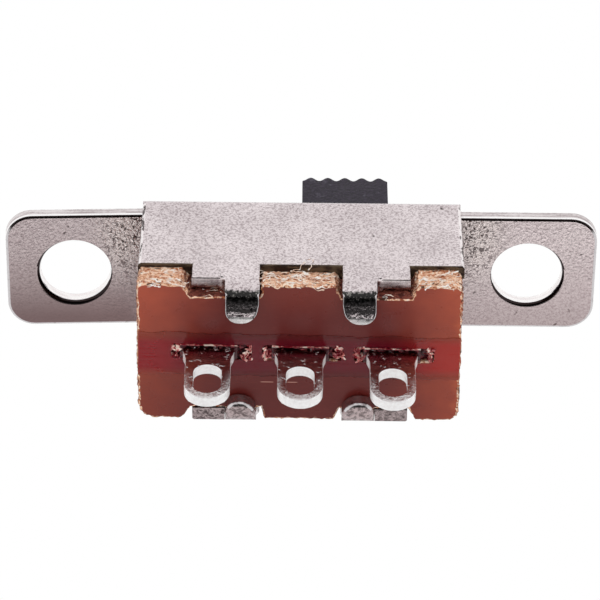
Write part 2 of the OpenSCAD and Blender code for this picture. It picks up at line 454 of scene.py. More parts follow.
    def paint(self, ground: "Finish", *coats: "tuple[Finish, Test]") -> None:
        """Gives the whole piece one finish, and then coats to some of its faces.

        Args:
            ground: the finish of the whole piece.
            *coats: finishes, each with the test that a face's centre and normal have to pass.
        """
        materials = self.obj.data.materials
        materials.clear()
        materials.append(ground.material())
        for index, (finish, test) in enumerate(coats, start=1):
            materials.append(finish.material())
            for face in self.obj.data.polygons:
                if test(face.center, face.normal):
                    face.material_index = index

    def finish(self, body: Body, slot: Slot, replaces: tuple[str, ...] = (),
               smooth_deg: float = 35.0) -> bpy.types.Object:
        """Shades the piece, brings it to metres and ties it to the frame.

        Args:
            body: the body it rides on.
            slot: the record's material slot; not used.
            replaces: the CAD nodes that it stands for.
            smooth_deg: the angle below which faces shade as one.

        Returns:
            The finished object.
        """
        self.hold()
        bpy.ops.object.shade_smooth_by_angle(angle=math.radians(smooth_deg))
        self.apply("WEIGHTED_NORMAL", mode="FACE_AREA", weight=80, keep_sharp=True)
        self.hold()
        self.obj.scale = (MM, MM, MM)
        apply_place()
        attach(self.obj, body.value)
        if replaces:
            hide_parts(*replaces)
        log.info("%s: %d faces on %s", self.obj.name, len(self.obj.data.polygons), body.value)
        return self.obj


# ---------------------------------------------------------------- finishes


class Signal:
    """A number, place or colour that a node tree works out."""

    def __init__(self, tree: bpy.types.NodeTree, socket: bpy.types.NodeSocket) -> None:
        """Takes the output of a node.

        Args:
            tree: the tree that holds the node.
            socket: the output.
        """
        self.tree = tree
        self.socket = socket

    def into(self, target: bpy.types.NodeSocket) -> None:
        """Feeds an input."""
        self.tree.links.new(self.socket, target)

    def through(self, kind: str, inlet: str | int, outlet: str | int, others: dict[str | int, object],
                **settings: str) -> "Signal":
        """Goes through a new node.

        Args:
            kind: Blender's name for the node's type.
            inlet: the input that this signal feeds.
            outlet: the output that is wanted.
            others: values or signals for the other inputs.
            **settings: the node's properties.

        Returns:
            The node's output.
        """
        node = self.tree.nodes.new(kind)
        for key, value in settings.items():
            setattr(node, key, value)
        self.into(node.inputs[inlet])
        for key, value in others.items():
            if isinstance(value, Signal):
                value.into(node.inputs[key])
            else:
                node.inputs[key].default_value = value
        return Signal(self.tree, node.outputs[outlet])

    def reckon(self, operation: str, second: "Signal | float") -> "Signal":
        """Works out one number from two."""
        return self.through("ShaderNodeMath", 0, "Value", {1: second}, operation=operation)

    def __add__(self, second: "Signal | float") -> "Signal":
        """Adds a number."""
        return self.reckon("ADD", second)

    def __sub__(self, second: float) -> "Signal":
        """Takes a number away."""
        return self.reckon("ADD", -second)

    def __mul__(self, second: "Signal | float") -> "Signal":
        """Multiplies by a number."""
        return self.reckon("MULTIPLY", second)

    def __abs__(self) -> "Signal":
        """Drops the sign."""
        return self.reckon("ABSOLUTE", 0.0)

    def least(self, second: "Signal | float") -> "Signal":
        """The smaller of two numbers."""
        return self.reckon("MINIMUM", second)

    def most(self, second: "Signal | float") -> "Signal":
        """The greater of two numbers."""
        return self.reckon("MAXIMUM", second)

    def fold(self, length: float) -> "Signal":
        """Folds a number to and fro over a length."""
        return self.reckon("PINGPONG", length)

    def span(self, start: float, end: float, low: float = 0.0, high: float = 1.0) -> "Signal":
        """Maps start..end onto low..high, clamped and eased."""
        reach = {"From Min": start, "From Max": end, "To Min": low, "To Max": high}
        return self.through("ShaderNodeMapRange", "Value", "Result", reach, interpolation_type="SMOOTHSTEP")

    def axis(self, name: str) -> "Signal":
        """One coordinate of a place."""
        return self.through("ShaderNodeSeparateXYZ", "Vector", name, {})

    def noise(self, scale: float, detail: float = 2.0, roughness: float = 0.5,
              distortion: float = 0.0) -> "Signal":
        """Cloudy noise between 0 and 1, read at a place."""
        clouds = {"Scale": scale, "Detail": detail, "Roughness": roughness, "Distortion": distortion}
        return self.through("ShaderNodeTexNoise", "Vector", "Fac", clouds)

    def blend(self, first: "Colour | Signal", second: "Colour | Signal") -> "Signal":
        """Colour between two colours: 0 gives the first and 1 the second."""
        paints = {key: paint if isinstance(paint, Signal) else (*paint, 1.0)
                  for key, paint in ((6, first), (7, second))}
        return self.through("ShaderNodeMix", "Factor", 2, paints, data_type="RGBA")

    def two_tone(self, reach: Pair, first: Colour, second: Colour) -> "Signal":
        """Goes from one colour to another while this number crosses a reach."""
        return self.span(*reach).blend(first, second)


class Recipe:
    """Node tree of one material, with textures that read places in millimetres."""

    def __init__(self, name: str) -> None:
        """Starts a material.

        Args:
            name: the material's name.
        """
        self.material = bpy.data.materials.new(name)
        self.material.use_nodes = True
        self.tree = self.material.node_tree
        self.shader = self.tree.nodes["Principled BSDF"]

    def set(self, **values: float) -> None:
        """Sets sockets of the shader, named with underscores for spaces."""
        for key, value in values.items():
            socket = self.shader.inputs[key.replace("_", " ").title().replace("Ior", "IOR")]
            socket.default_value = value

    def place(self, stretch: Point = (1.0, 1.0, 1.0)) -> Signal:
        """Object coordinates in millimetres.

        Args:
            stretch: how many pattern units one millimetre holds, along each axis.

        Returns:
            The place.
        """
        where = self.tree.nodes.new("ShaderNodeTexCoord")
        scale = {"Scale": [s / MM for s in stretch]}
        read = Signal(self.tree, where.outputs["Object"])
        return read.through("ShaderNodeMapping", "Vector", "Vector", scale)

    def streaks(self, stretch: Point, **clouds: float) -> Signal:
        """Noise that is drawn out: stretch says how fine it is along each axis."""
        return self.place(stretch).noise(1.0, **clouds)

    def flange_height(self) -> Signal:
        """Height over the flanges' own plane, with the left flange's lean taken out."""
        beyond = (self.place().axis("X") + LEAN_START).least(0.0)
        return self.place().axis("Z") + beyond * -math.tan(math.radians(LEAN_DEG))

    def bump(self, height: Signal, depth_mm: float) -> None:
        """Adds relief to the surface, over any earlier relief.

        Args:
            height: the relief's pattern.
            depth_mm: how far a height of 1 stands proud.
        """
        normal = self.shader.inputs["Normal"]
        size = {"Strength": 1.0, "Distance": depth_mm * MM}
        if normal.is_linked:
            size["Normal"] = Signal(self.tree, normal.links[0].from_socket)
        height.through("ShaderNodeBump", "Height", "Normal", size).into(normal)

    def colour(self, source: Signal) -> None:
        """Drives the base colour."""
        source.into(self.shader.inputs["Base Color"])

    def roughness(self, source: Signal) -> None:
        """Drives the roughness."""
        source.into(self.shader.inputs["Roughness"])

    def metallic(self, source: Signal) -> None:
        """Drives how metallic the surface is."""
        source.into(self.shader.inputs["Metallic"])


@dataclass(frozen=True)
class Finish:
    """A named finish, whose material is made once and shared."""

    name: str

    def material(self) -> bpy.types.Material:
        """The finish's material, made when it is first asked for.

        Returns:
            The material.
        """
        found = bpy.data.materials.get(self.name)
        if found:
            return found
        recipe = Recipe(self.name)
        self.mix(recipe)
        return recipe.material

    def mix(self, recipe: Recipe) -> None:
        """Fills the recipe."""
        raise NotImplementedError


@dataclass(frozen=True)
class NickelSkin(Finish):
    """Dull nickel plate over rolled steel, with a fine pebbled surface."""

    name: str = "nickel_skin"
    light: Colour = (0.83, 0.75, 0.76)
    dark: Colour = (0.34, 0.28, 0.29)
    grain_per_mm: float = 12.0
    relief_mm: float = 0.008
    gloss: Pair = (0.20, 0.28)

    def mix(self, recipe: Recipe) -> None:
        """Pebbled bump, cloudy tone and sparse pits.

        Args:
            recipe: the recipe to fill.
        """
        place = recipe.place()
        grain = place.noise(self.grain_per_mm, detail=3.0, roughness=0.7, distortion=0.4)
        cloud = place.noise(0.45, detail=3.0)
        speck = place.noise(2.3, detail=2.0, roughness=0.7)
        fine = grain.span(0.35, 0.58) * 0.75
        tone = cloud.span(0.3, 0.7) * 0.25
        base = (fine + tone).blend(self.dark, self.light)
        pit = speck.span(0.68, 0.74)
        pitted = pit.blend(base, (0.1, 0.08, 0.08))
        recipe.colour(self.darken_and_glint(recipe, place, pitted))
        recipe.roughness(cloud.span(0.3, 0.7, *self.gloss))
        recipe.bump(grain * self.strength(recipe, place), self.relief_mm)
        recipe.set(metallic=1.0)

    def strength(self, recipe: Recipe, place: Signal) -> Signal | float:
        """How strong the pebbles are: the same all over the outer skin."""
        return 1.0

    def darken_and_glint(self, recipe: Recipe, place: Signal, base: Signal) -> Signal:
        """Darkens the colour and paints glints over it: nowhere on the outer skin."""
        return base


@dataclass(frozen=True)
class NickelUnderside(NickelSkin):
    """The same plate under the flanges, a lighter copy for the faces turned down, which is painted light;
    darker towards the rear and on the left, with painted glints and black specks beside the body.
    """

    name: str = "nickel_underside"
    light: Colour = (0.92, 0.80, 0.80)
    dark: Colour = (0.58, 0.48, 0.49)
    grain_per_mm: float = 11.5
    relief_mm: float = 0.014
    gloss: Pair = (0.12, 0.20)
    dull: Colour = (0.22, 0.15, 0.15)

    def strength(self, recipe: Recipe, place: Signal) -> Signal | float:
        """Strongest beside the channel and towards the front."""
        along = abs(place.axis("X"))
        beside = along.span(5.4, 7.4, 1.3, 0.6)
        return beside * place.axis("Y").span(-2.2, 1.8, 1.5, 0.35)

    def darken_and_glint(self, recipe: Recipe, place: Signal, base: Signal) -> Signal:
        """Darkens from front to rear, and more on the left, and paints glints and black specks beside the
        body.

        Args:
            recipe: the recipe to fill; not used.
            place: where its patterns are read.
            base: the colour so far.

        Returns:
            The colour, darkened and with its painted glints.
        """
        rear = place.axis("Y").span(-2.0, 2.8, 0.0, 0.58)
        left = place.axis("X").span(-6.0, -4.0, 0.28, 0.0)
        both = rear * left * 1.4
        dulled = (rear + left + both).blend(base, self.dull)
        # Painted glints: white and black specks beside the body stand in for the sparkle of the pebbled
        # plate
        worm = place.noise(8.0, detail=2.0, roughness=0.6, distortion=1.2)
        painted_glints = worm.two_tone((0.4, 0.49), (0.055, 0.035, 0.032), (1.0, 0.89, 0.86))
        along = abs(place.axis("X"))
        beside = along.span(5.8, 7.3, 0.92, 0.0) * place.axis("Y").span(-1.4, 1.2, 1.0, 0.0)
        return beside.blend(dulled, painted_glints)


@dataclass(frozen=True)
class ScuffedTongue(NickelSkin):
    """Plate on the front tongues, dented by the clinching tool towards the tip, with a painted dark
    reflection on the fold.
    """

    name: str = "scuffed_tongue"
    gloss: Pair = (0.12, 0.20)
    fold_z: Pair = (-5.54, -5.86)

    def mix(self, recipe: Recipe) -> None:
        """Adds dents that deepen towards the tip.

        Args:
            recipe: the recipe to fill.
        """
        super().mix(recipe)
        place = recipe.place()
        dent = place.noise(3.6, detail=2.0, distortion=0.8)
        deep = place.axis("Y").span(-1.95, -1.6)
        recipe.bump(dent * deep, 0.16)

    def darken_and_glint(self, recipe: Recipe, place: Signal, base: Signal) -> Signal:
        """Paints the fold black as a painted dark reflection, with lighter flecks and a speckled upper
        border.

        Args:
            recipe: the recipe to fill; not used.
            place: where its patterns are read.
            base: the colour so far.

        Returns:
            The colour with its painted dark fold.
        """
        top, end = self.fold_z
        speckle = place.noise(14.0, detail=2.0) * 0.22
        height = place.axis("Z") + speckle
        # Painted dark reflection along the fold, broken by lighter flecks
        fold = height.span(top, top - 0.08) * height.span(end, end + 0.1)
        fleck = place.noise(9.0, detail=2.0, roughness=0.7).span(0.54, 0.64)
        black = fleck.blend((0.032, 0.031, 0.03), (0.24, 0.23, 0.215))
        return fold.blend(base, black)

    def strength(self, recipe: Recipe, place: Signal) -> Signal | float:
        """Half as strong again as on the walls."""
        return 1.4


@dataclass(frozen=True)
class Mottled(Finish):
    """Plain finish: layers of colour, gloss and relief that all follow one noise.

    Each layer says where in the noise it starts, where it is full, and its colour.
    """

    name: str
    ground: Colour
    layers: tuple[tuple[float, float, Colour], ...]
    stretch: Point = (1.0, 1.0, 1.0)
    scale: float = 1.0
    detail: float = 3.0
    harshness: float = 0.5
    gloss: Pair | None = None
    relief_mm: float = 0.0
    uniform: dict[str, float] = field(default_factory=dict)

    def mix(self, recipe: Recipe) -> None:
        """Lays the colours over the ground, one after the other.

        Args:
            recipe: the recipe to fill.
        """
        cloud = recipe.place(self.stretch).noise(self.scale, self.detail, self.harshness)
        colour = self.ground
        for start, full, tint in self.layers:
            colour = cloud.span(start, full).blend(colour, tint)
        recipe.colour(colour)
        if self.gloss:
            recipe.roughness(cloud.span(0.3, 0.7, *self.gloss))
        if self.relief_mm:
            recipe.bump(cloud, self.relief_mm)
        recipe.set(**self.uniform)


# Bright broken edge of a wall, with a dotted line of dark burr
BURRED_EDGE = Mottled("burred_edge", (0.90, 0.84, 0.84), ((0.50, 0.55, (0.08, 0.06, 0.06)),),
                      stretch=(9.0, 3.0, 2.4), detail=4.0, harshness=0.7, gloss=(0.25, 0.4),
                      uniform={"metallic": 1.0})
# Painted shade, in the colour of dark oily dirt, in narrow gaps and on the walls' cut foot, which was never
# plated
GAP_SHADE = Mottled("painted_gap_shade", (0.030, 0.015, 0.010), ((0.4, 0.6, (0.12, 0.083, 0.050)),),
                stretch=(2.0, 6.0, 6.0), uniform={"roughness": 0.5, "specular_ior_level": 0.3})
# Loose paper fibre, cream with darker stretches
PALE_FIBRE = Mottled("pale_fibre", (0.93, 0.66, 0.50), ((0.4, 0.6, (1.0, 0.95, 0.90)),),
                     scale=4.0, detail=2.0, uniform={"roughness": 0.6})
# Thick dark varnish in the slots and around the lugs, with crusty lighter spots
POOLED_VARNISH = Mottled("pooled_varnish", (0.055, 0.0034, 0.008), ((0.50, 0.68, (0.36, 0.056, 0.066)),),
                         scale=6.0, detail=4.0, harshness=0.65, relief_mm=0.05,
                         uniform={"roughness": 0.14, "specular_ior_level": 0.5})
# Torn flakes, red on the outside and tan where the paper shows; the pale pink and cream layers are partly
# painted highlights
TORN_VARNISH_AND_HIGHLIGHTS = Mottled("torn_varnish_and_highlights", (0.24, 0.008, 0.020),
                       ((0.42, 0.56, (0.82, 0.30, 0.27)), (0.53, 0.60, (1.0, 0.82, 0.72))),
                       scale=5.0, harshness=0.6, uniform={"roughness": 0.22, "specular_ior_level": 0.5})
# Spring bronze, lightly rubbed along its length
RUBBED_BRONZE = Mottled("rubbed_bronze", (0.62, 0.38, 0.20), ((0.35, 0.65, (0.78, 0.52, 0.30)),),
                        stretch=(1.5, 30.0, 30.0), detail=2.0, gloss=(0.22, 0.38),
                        uniform={"metallic": 1.0})
# Pale paper of the studio's floor
FLOOR_PAPER = Mottled("floor_paper", (0.82, 0.82, 0.82), ((0.3, 0.7, (0.86, 0.86, 0.86)),),
                      scale=0.05, uniform={"roughness": 0.9, "specular_ior_level": 0.1})


@dataclass(frozen=True)
class ShearedSteel(Finish):
    """Bright cut edge of the sheet, in lines that run along it."""

    name: str = "sheared_steel"
    dark: Colour = (0.44, 0.38, 0.385)
    light: Colour = (0.78, 0.73, 0.73)
    stretch: Point = (0.9, 0.9, 9.0)

    def mix(self, recipe: Recipe) -> None:
        """Burnished and broken layers over a pale metal.

        Args:
            recipe: the recipe to fill.
        """
        streak = recipe.streaks(self.stretch, detail=3.0)
        break_up = recipe.place().noise(8.0, detail=3.0, roughness=0.6)
        mixed = streak * 0.6 + break_up * 0.4
        metal = mixed.two_tone((0.38, 0.62), self.dark, self.light)
        height = recipe.flange_height()
        burnish = height.span(-0.29, -0.34) * height.span(-0.8, -0.7)
        recipe.colour(burnish.blend(metal, (1.0, 0.98, 0.98)))
        recipe.roughness(break_up.span(0.35, 0.65, 0.25, 0.45))
        recipe.bump(mixed, 0.012)
        recipe.set(metallic=1.0)


@dataclass(frozen=True)
class RolledRim(Finish):
    """Smooth, burnished rounding that the punch left.

    Its lowest part is painted black under the front edge of the flanges and round the mounting holes: a
    painted dark reflection.
    """

    name: str = "rolled_rim"
    hole_x: float = 7.55
    black_z: float = -0.352
    end_z: float = -0.8

    def mix(self, recipe: Recipe) -> None:
        """Nearly bare metal with a few nicks.

        Args:
            recipe: the recipe to fill.
        """
        nick = recipe.place().noise(5.0, detail=3.0, roughness=0.7)
        metal = nick.two_tone((0.55, 0.75), (0.62, 0.59, 0.6), (0.35, 0.32, 0.32))
        place = recipe.place()
        across = place.axis("Y")
        along = abs(place.axis("X")) - self.hole_x
        apart = along * along + across * across
        height = recipe.flange_height()
        where = across.span(-1.5, -1.75).most(apart.span(2.75, 2.55))
        flange = where * height.span(self.end_z, self.end_z + 0.1)
        # Painted dark reflection on the lowest part of the rim
        black = flange * height.span(self.black_z, self.black_z - 0.02)
        bright = flange.blend(metal, (0.98, 0.95, 0.95))
        recipe.colour(black.blend(bright, (0.035, 0.025, 0.025)))
        recipe.roughness(nick.span(0.3, 0.7, 0.12, 0.22))
        recipe.bump(nick, 0.004)
        recipe.set(metallic=1.0)


@dataclass(frozen=True)
class TerminalPlate(Finish):
    """Bright silver-coloured plate, nearly a mirror, rubbed matt at the lugs' tips and sides."""

    name: str = "terminal_plate"
    rim: bool = False

    def mix(self, recipe: Recipe) -> None:
        """Soft ripples and a few scratches in a mirror.

        Args:
            recipe: the recipe to fill.
        """
        place = recipe.place()
        ripple = place.noise(2.6, detail=2.0)
        grain = place.noise(9.0, detail=3.0, roughness=0.6)
        dent = place.noise(4.5, detail=3.0, roughness=0.6)
        plate = grain.two_tone((0.3, 0.7), (0.62, 0.57, 0.58), (0.86, 0.83, 0.83))
        resin = place.axis("Z").span(-5.95, -5.72) * dent.span(0.66, 0.56)
        recipe.colour(resin.blend(plate, (0.075, 0.018, 0.018)))
        recipe.roughness(ripple.span(0.35, 0.7, 0.1, 0.24))
        recipe.bump(ripple, 0.022)
        recipe.bump(grain, 0.010)
        recipe.bump(dent.span(0.6, 0.72), 0.02)
        if self.rim:
            recipe.colour(grain.two_tone((0.3, 0.7), (0.9, 0.87, 0.87), (1.0, 1.0, 1.0)))
            recipe.set(metallic=0.0)
            return
        fine = place.noise(13.0, detail=3.0, roughness=0.65)
        across = place.axis("X").fold(PITCH / 2)
        height = place.axis("Z")
        sides = across.span(0.42, 0.74, 0.0, 0.42) * height.span(-6.7, -7.5)
        foot = height.span(-7.65, -8.25, 0.0, 0.52)
        haze = sides.most(foot) * fine.span(0.3, 0.62, 0.45, 1.25)
        tip = height.span(-8.3, -8.45).most(haze)
        recipe.metallic(tip.span(0.0, 1.0, 1.0, 0.12))


@dataclass(frozen=True)
class PhenolicFace(Finish):
    """Glossy face of the brown laminate, lighter towards its two ends as painted light, with a painted glow
    at the right end.
    """

    name: str = "phenolic_face"
    middle: Colour = (0.140, 0.0168, 0.0138)
    ends: Colour = (0.42, 0.075, 0.036)
    shade: Colour = (0.110, 0.0100, 0.0080)
    half_length: float = 5.2
    scratch_at: Point = (-0.9, 1.12, 0.85)

    def mix(self, recipe: Recipe) -> None:
        """Painted light along the wafer, painted shade towards the rear, and faint paper mottling.

        Args:
            recipe: the recipe to fill.
        """
        place = recipe.place()
        along = abs(place.axis("X"))
        mottle = place.noise(1.6, detail=4.0)
        shifted = along + mottle * 1.6
        # Painted light: lighter and more orange towards both ends, where light comes through the thin
        # laminate, and a little lighter towards the front edge
        tone = shifted.span(3.0, self.half_length + 1.6)
        fibre = recipe.streaks((3.0, 22.0, 22.0), detail=2.0)
        across = place.axis("Y")
        warm = tone + across.span(-2.3, -1.1, 0.17, 0.0)
        lit = warm.blend(self.middle, self.ends)
        shaded = across.span(-2.3, 2.6, 0.0, 0.45) * place.axis("X").span(-3.0, 4.5, 1.25, 0.45)
        base = shaded.blend(lit, self.shade)
        # Painted glow at the right end: light coming through the laminate
        painted_glow = shifted.span(self.half_length + 0.35, self.half_length + 1.5) * place.axis("X").span(4.4, 5.0)
        orange = painted_glow.blend(base, (0.56, 0.135, 0.052))
        grained = fibre.span(0.55, 0.8, 0.0, 0.2).blend(orange, (0.28, 0.052, 0.034))
        recipe.colour(self.scratch(recipe, place, grained))
        recipe.roughness(mottle.span(0.3, 0.7, 0.26, 0.36))
        recipe.bump(mottle, 0.006)
        recipe.set(specular_ior_level=0.34)

    def scratch(self, recipe: Recipe, place: Signal, base: Signal) -> Signal:
        """Draws one broken pale scratch along the wafer, behind the stripe.

        Args:
            recipe: the recipe to fill.
            place: where its patterns are read.
            base: the colour so far.

        Returns:
            The colour with its scratch.
        """
        middle, across, half = self.scratch_at
        line = abs(place.axis("Y") - across).span(0.015, 0.004)
        reach = abs(place.axis("X") - middle).span(half, half - 0.1)
        gaps = recipe.streaks((2.6, 0.2, 0.2)).span(0.5, 0.56)
        drawn = line * reach * gaps
        return drawn.blend(base, (0.72, 0.36, 0.28))


@dataclass(frozen=True)
class PhenolicEdge(Finish):
    """Torn, fibrous cut edge of the laminate."""

    name: str = "phenolic_edge"
    resin: Colour = (0.44, 0.125, 0.048)
    paper: Colour = (1.0, 0.62, 0.405)
    tuft: Colour = (1.0, 0.93, 0.82)
    pit: Colour = (0.10, 0.032, 0.017)

    def mix(self, recipe: Recipe) -> None:
        """Layers of pale fibre between darker resin, with deep pits whose shade is painted dark.

        Args:
            recipe: the recipe to fill.
        """
        layers = recipe.streaks((2.2, 2.2, 12.0), detail=5.0, roughness=0.65, distortion=1.4)
        tuft = recipe.place().noise(7.0, detail=4.0, roughness=0.7, distortion=1.0)
        mixed = layers * 0.55 + tuft * 0.45
        base = mixed.two_tone((0.43, 0.53), self.resin, self.paper)
        cream = recipe.streaks((0.9, 0.9, 2.0), detail=2.0)
        pale = tuft.span(0.5, 0.62) * cream.span(0.35, 0.6, 0.45, 1.0)
        deep = recipe.streaks((3.2, 3.2, 6.5), detail=3.0, roughness=0.6, distortion=0.8)
        # Painted shade: the pits are darkened
        pitted = deep.span(0.59, 0.64).blend(pale.blend(base, self.tuft), self.pit)
        recipe.colour(pitted)
        recipe.bump(mixed, 0.06)
        recipe.bump(deep.span(0.68, 0.6), 0.04)
        recipe.set(roughness=0.75, specular_ior_level=0.25)


@dataclass(frozen=True)
class RedVarnish(Finish):
    """Brushed, half-clear dark red varnish."""

    name: str = "brushed_varnish"
    middle: float = 0.1

    def mix(self, recipe: Recipe) -> None:
        """Brush lines along the stripe, which thins out towards its two borders, with painted light towards
        its ends.

        Args:
            recipe: the recipe to fill.
        """
        brush = recipe.streaks((0.7, 13.0, 13.0), detail=3.0)
        place = recipe.place()
        along = abs(place.axis("X"))
        # Painted light: lighter towards both ends and redder at the right end, as on the wafer's face
        tone = along.span(2.6, 5.4) + brush * 0.3
        red = tone.two_tone((0.1, 1.1), (0.155, 0.0062, 0.0155), (0.3, 0.0125, 0.0165))
        right = place.axis("X").span(2.5, 5.2)
        body = right.blend(red, (0.44, 0.031, 0.022))
        laminate = along.two_tone((2.4, 5.6), (0.12, 0.015, 0.013), (0.33, 0.058, 0.03))
        across = abs(place.axis("Y") - self.middle)
        thin = across + brush * 0.12
        recipe.colour(thin.span(0.5, 0.84, 0.0, 0.85).blend(body, laminate))
        recipe.bump(brush, 0.010)
        recipe.set(roughness=0.14, alpha=0.78, specular_ior_level=0.39)


@dataclass(frozen=True)
class BlackPlastic(Finish):
    """Satin black moulding."""

    name: str = "moulded_black"

    def mix(self, recipe: Recipe) -> None:
        """Fine eggshell texture with faint pale scuffs.

        Args:
            recipe: the recipe to fill.
        """
        place = recipe.place()
        skin = place.noise(9.0, detail=3.0)
        scuff = place.noise(1.7, detail=4.0, roughness=0.65)
        base = skin.two_tone((0.3, 0.7), (0.007, 0.0035, 0.011), (0.027, 0.0175, 0.036))
        recipe.colour(scuff.span(0.58, 0.74).blend(base, (0.1, 0.09, 0.12)))
        recipe.roughness(scuff.span(0.3, 0.7, 0.36, 0.5))
        recipe.bump(skin, 0.012)
        recipe.set(specular_ior_level=0.2)


# ---------------------------------------------------------------- frame


@dataclass
class SheetFrame:
    """Folded steel frame: flanges, channel and the four clinched tabs."""

    sheet: float = 0.45
    body_half: float = LEAN_START
    wall_z: float = -0.6
    wall_top: float = -0.4
    flange_half: float = 2.125
    flange_round: float = 0.9
    hole_x: float = 7.55
    hole_r: float = 1.175
    tab_x: float = 1.32
    tongue_w: float = 1.1
    tab_w: float = 2.18
    front_shoulder: float = 0.8
    rear_shoulder: float = 1.2
    fillet: float = 0.24
    slit_w: float = 0.025
    slit_reach: float = 0.1
    tuck: float = 0.2
    droop_deg: float = 12.0
    front_reach: float = 1.16
    rear_reach: float = 0.95
    rear_insets: Pair = (0.10, 0.04)
    taper: float = 0.12
    tip_round: float = 0.42
    neck: float = 0.08
    slot_half: Pair = (2.985, 1.1)
    hole_rolls: Pair = (0.20, 0.15)
    hole_drift: Pair = (0.5, 0.86)
    flange_roll: float = 0.09
    wall_roll: float = 0.1
    tongue_roll: float = 0.07
    rear_roll: float = 0.15
    tip_flat: float = 0.035
    shoulder_roll: float = 0.12
    wall_break: float = 0.07
    edge_break: float = 0.035
    low: Vector = field(default_factory=lambda: node_box("frame")[0])
    high: Vector = field(default_factory=lambda: node_box("frame")[1])
    wafer_low: Vector = field(default_factory=lambda: node_box("wafer")[0])
    wafer_high: Vector = field(default_factory=lambda: node_box("wafer")[1])

    def skin(self) -> Workpiece:
        """Outer skin of the flanges and the channel, unfolded from one flat sheet.

        Returns:
            The open skin, with no thickness yet.
        """
        body, flat, wall = self.body_half, self.flange_half, self.high.y
        bend = wall - flat
        piece = Workpiece.sheet("frame_shell", (-body, -flat, 0.0), (body, flat, 0.0))
        with piece.edit():
            for side in (-1, 1):
                piece.edges(lambda p: near(p.x, side * body)).extrude(in_x(side * self.neck))
                piece.extrude(in_x(side * (self.high.x - body - self.neck)))
            piece.corners(lambda p: near(abs(p.x), self.high.x))
            piece.bevel(self.flange_round, segments=10, flat=True)
            for side in (-1, 1):
                piece.edges(lambda p: near(p.y, side * flat) and abs(p.x) < body + TOUCH)
                piece.spin((0.0, side * flat, -bend), EASTWARD, -side * 90.0, 8)
                piece.edges(lambda p: near(p.y, side * wall) and near(p.z, -bend))
                piece.extrude(in_z(self.wafer_high.z + bend))
        return piece

    def tabs(self, piece: Workpiece) -> None:
        """Draws the four tabs out of the walls' lower edges and folds their tongues.

        Args:
            piece: the open skin.
        """
        foot = self.wafer_high.z
        tongue_x = self.tab_x + self.tongue_w
        outer_x = self.tab_x + self.tab_w
        slit_x = tongue_x + self.slit_w
        base = foot - self.front_shoulder
        with piece.edit():
            for side in (-1, 1):
                for station in (self.tab_x, tongue_x, outer_x):
                    piece.faces(self.on_wall(0)).cut(in_x(side * station), EASTWARD)
                piece.faces(self.on_wall(1)).cut(in_x(side * slit_x), EASTWARD)
                for offset, _ in self.fillet_arc():
                    piece.faces(self.on_wall(-1)).cut(in_x(side * (tongue_x + offset)), EASTWARD)
            for side in (-1, 1):
                piece.edges(lambda p: near(p.z, foot) and self.on_tab(p, side, self.tab_x, outer_x))
                piece.extrude(in_z(-self.front_shoulder))
                piece.edges(lambda p: near(p.z, base) and p.y > 0
                            and self.on_tab(p, side, slit_x, outer_x))
                piece.extrude(in_z(self.front_shoulder - self.rear_shoulder))
            self.fold_tongues(piece, base, tongue_x)

    def on_wall(self, side: int) -> Test:
        """Test for the faces of both walls (0), or of the front (-1) or the rear one (1)."""
        return lambda c, n: abs(n.y) > 0.9 and c.z < self.wall_z and c.y * side >= 0

    def fillet_arc(self, steps: int = 4) -> list[Pair]:
        """Stations of the fillet between a front tongue and its shoulder.

        Args:
            steps: how many straight pieces stand for the arc.

        Returns:
            For each station its distance from the tongue and its rise, as a share of the whole.
        """
        angles = [math.pi / 2 * step / steps for step in range(1, steps + 1)]
        return [(self.fillet * (1 - math.cos(a)), math.sin(a)) for a in angles]

    def on_tab(self, corner: Vector, side: int, inner: float, outer: float) -> bool:
        """Whether a corner lies on a wall, between two distances along one side."""
        along = side * corner.x
        return near(abs(corner.y), self.high.y) and inner - TOUCH < along < outer + TOUCH

    def fold_tongues(self, piece: Workpiece, root_z: float, tongue_x: float) -> None:
        """Folds the four tongues under the wafer and rounds their tips.

        Args:
            piece: the open skin, in edit mode.
            root_z: the height of the tongues' free edges before the fold.
            tongue_x: the tongues' outer side.
        """
        wall = self.high.y
        axis_y = wall - self.sheet - self.tuck
        axis_z = self.wafer_low.z + self.tuck
        fold_r = wall - axis_y
        lean = math.radians(self.droop_deg)
        for side in (-1, 1):
            reach = self.front_reach if side < 0 else self.rear_reach
            outer = tongue_x + self.fillet if side < 0 else tongue_x
            piece.edges(lambda p: near(p.z, root_z) and p.y * side > TOUCH
                        and self.on_tab(p, 1 if p.x > 0 else -1, self.tab_x, outer))
            piece.extrude(in_z(axis_z - root_z))
            for offset, rise in self.fillet_arc():
                piece.corners(lambda p: near(p.z, axis_z) and p.y < 0
                              and near(abs(p.x), tongue_x + offset))
                piece.move(in_z((root_z - axis_z) * rise))
            piece.edges(lambda p: near(p.z, axis_z) and p.y * side > TOUCH
                        and self.on_tab(p, 1 if p.x > 0 else -1, self.tab_x, tongue_x))
            piece.spin((0.0, side * axis_y, axis_z), EASTWARD, -side * (90.0 - self.droop_deg), 8)
            start = axis_y + fold_r * math.sin(lean)
            run = (start - (wall - reach)) / math.cos(lean)
            piece.extrude((0.0, -side * run * math.cos(lean), -run * math.sin(lean)))
            for x in (-self.tab_x, self.tab_x):
                piece.corners(lambda p: near(p.x, x) and p.y * side > 0 and p.z < axis_z
                              and abs(p.y) < wall - reach + 1e-3)
                piece.move(in_x(math.copysign(self.taper, x)))
            for hand, inset in zip((-1, 1), self.rear_insets):
                piece.corners(lambda p: side > 0 and p.y > 0 and p.z < axis_z + TOUCH
                              and self.tab_x - TOUCH < p.x * hand < self.tab_x + self.taper + TOUCH)
                piece.move(in_x(hand * inset))
            piece.corners(lambda p: near(abs(p.y), wall - reach, 1e-3) and p.y * side > 0
                          and p.z < axis_z)
            piece.bevel(self.tip_round, segments=6, flat=True)

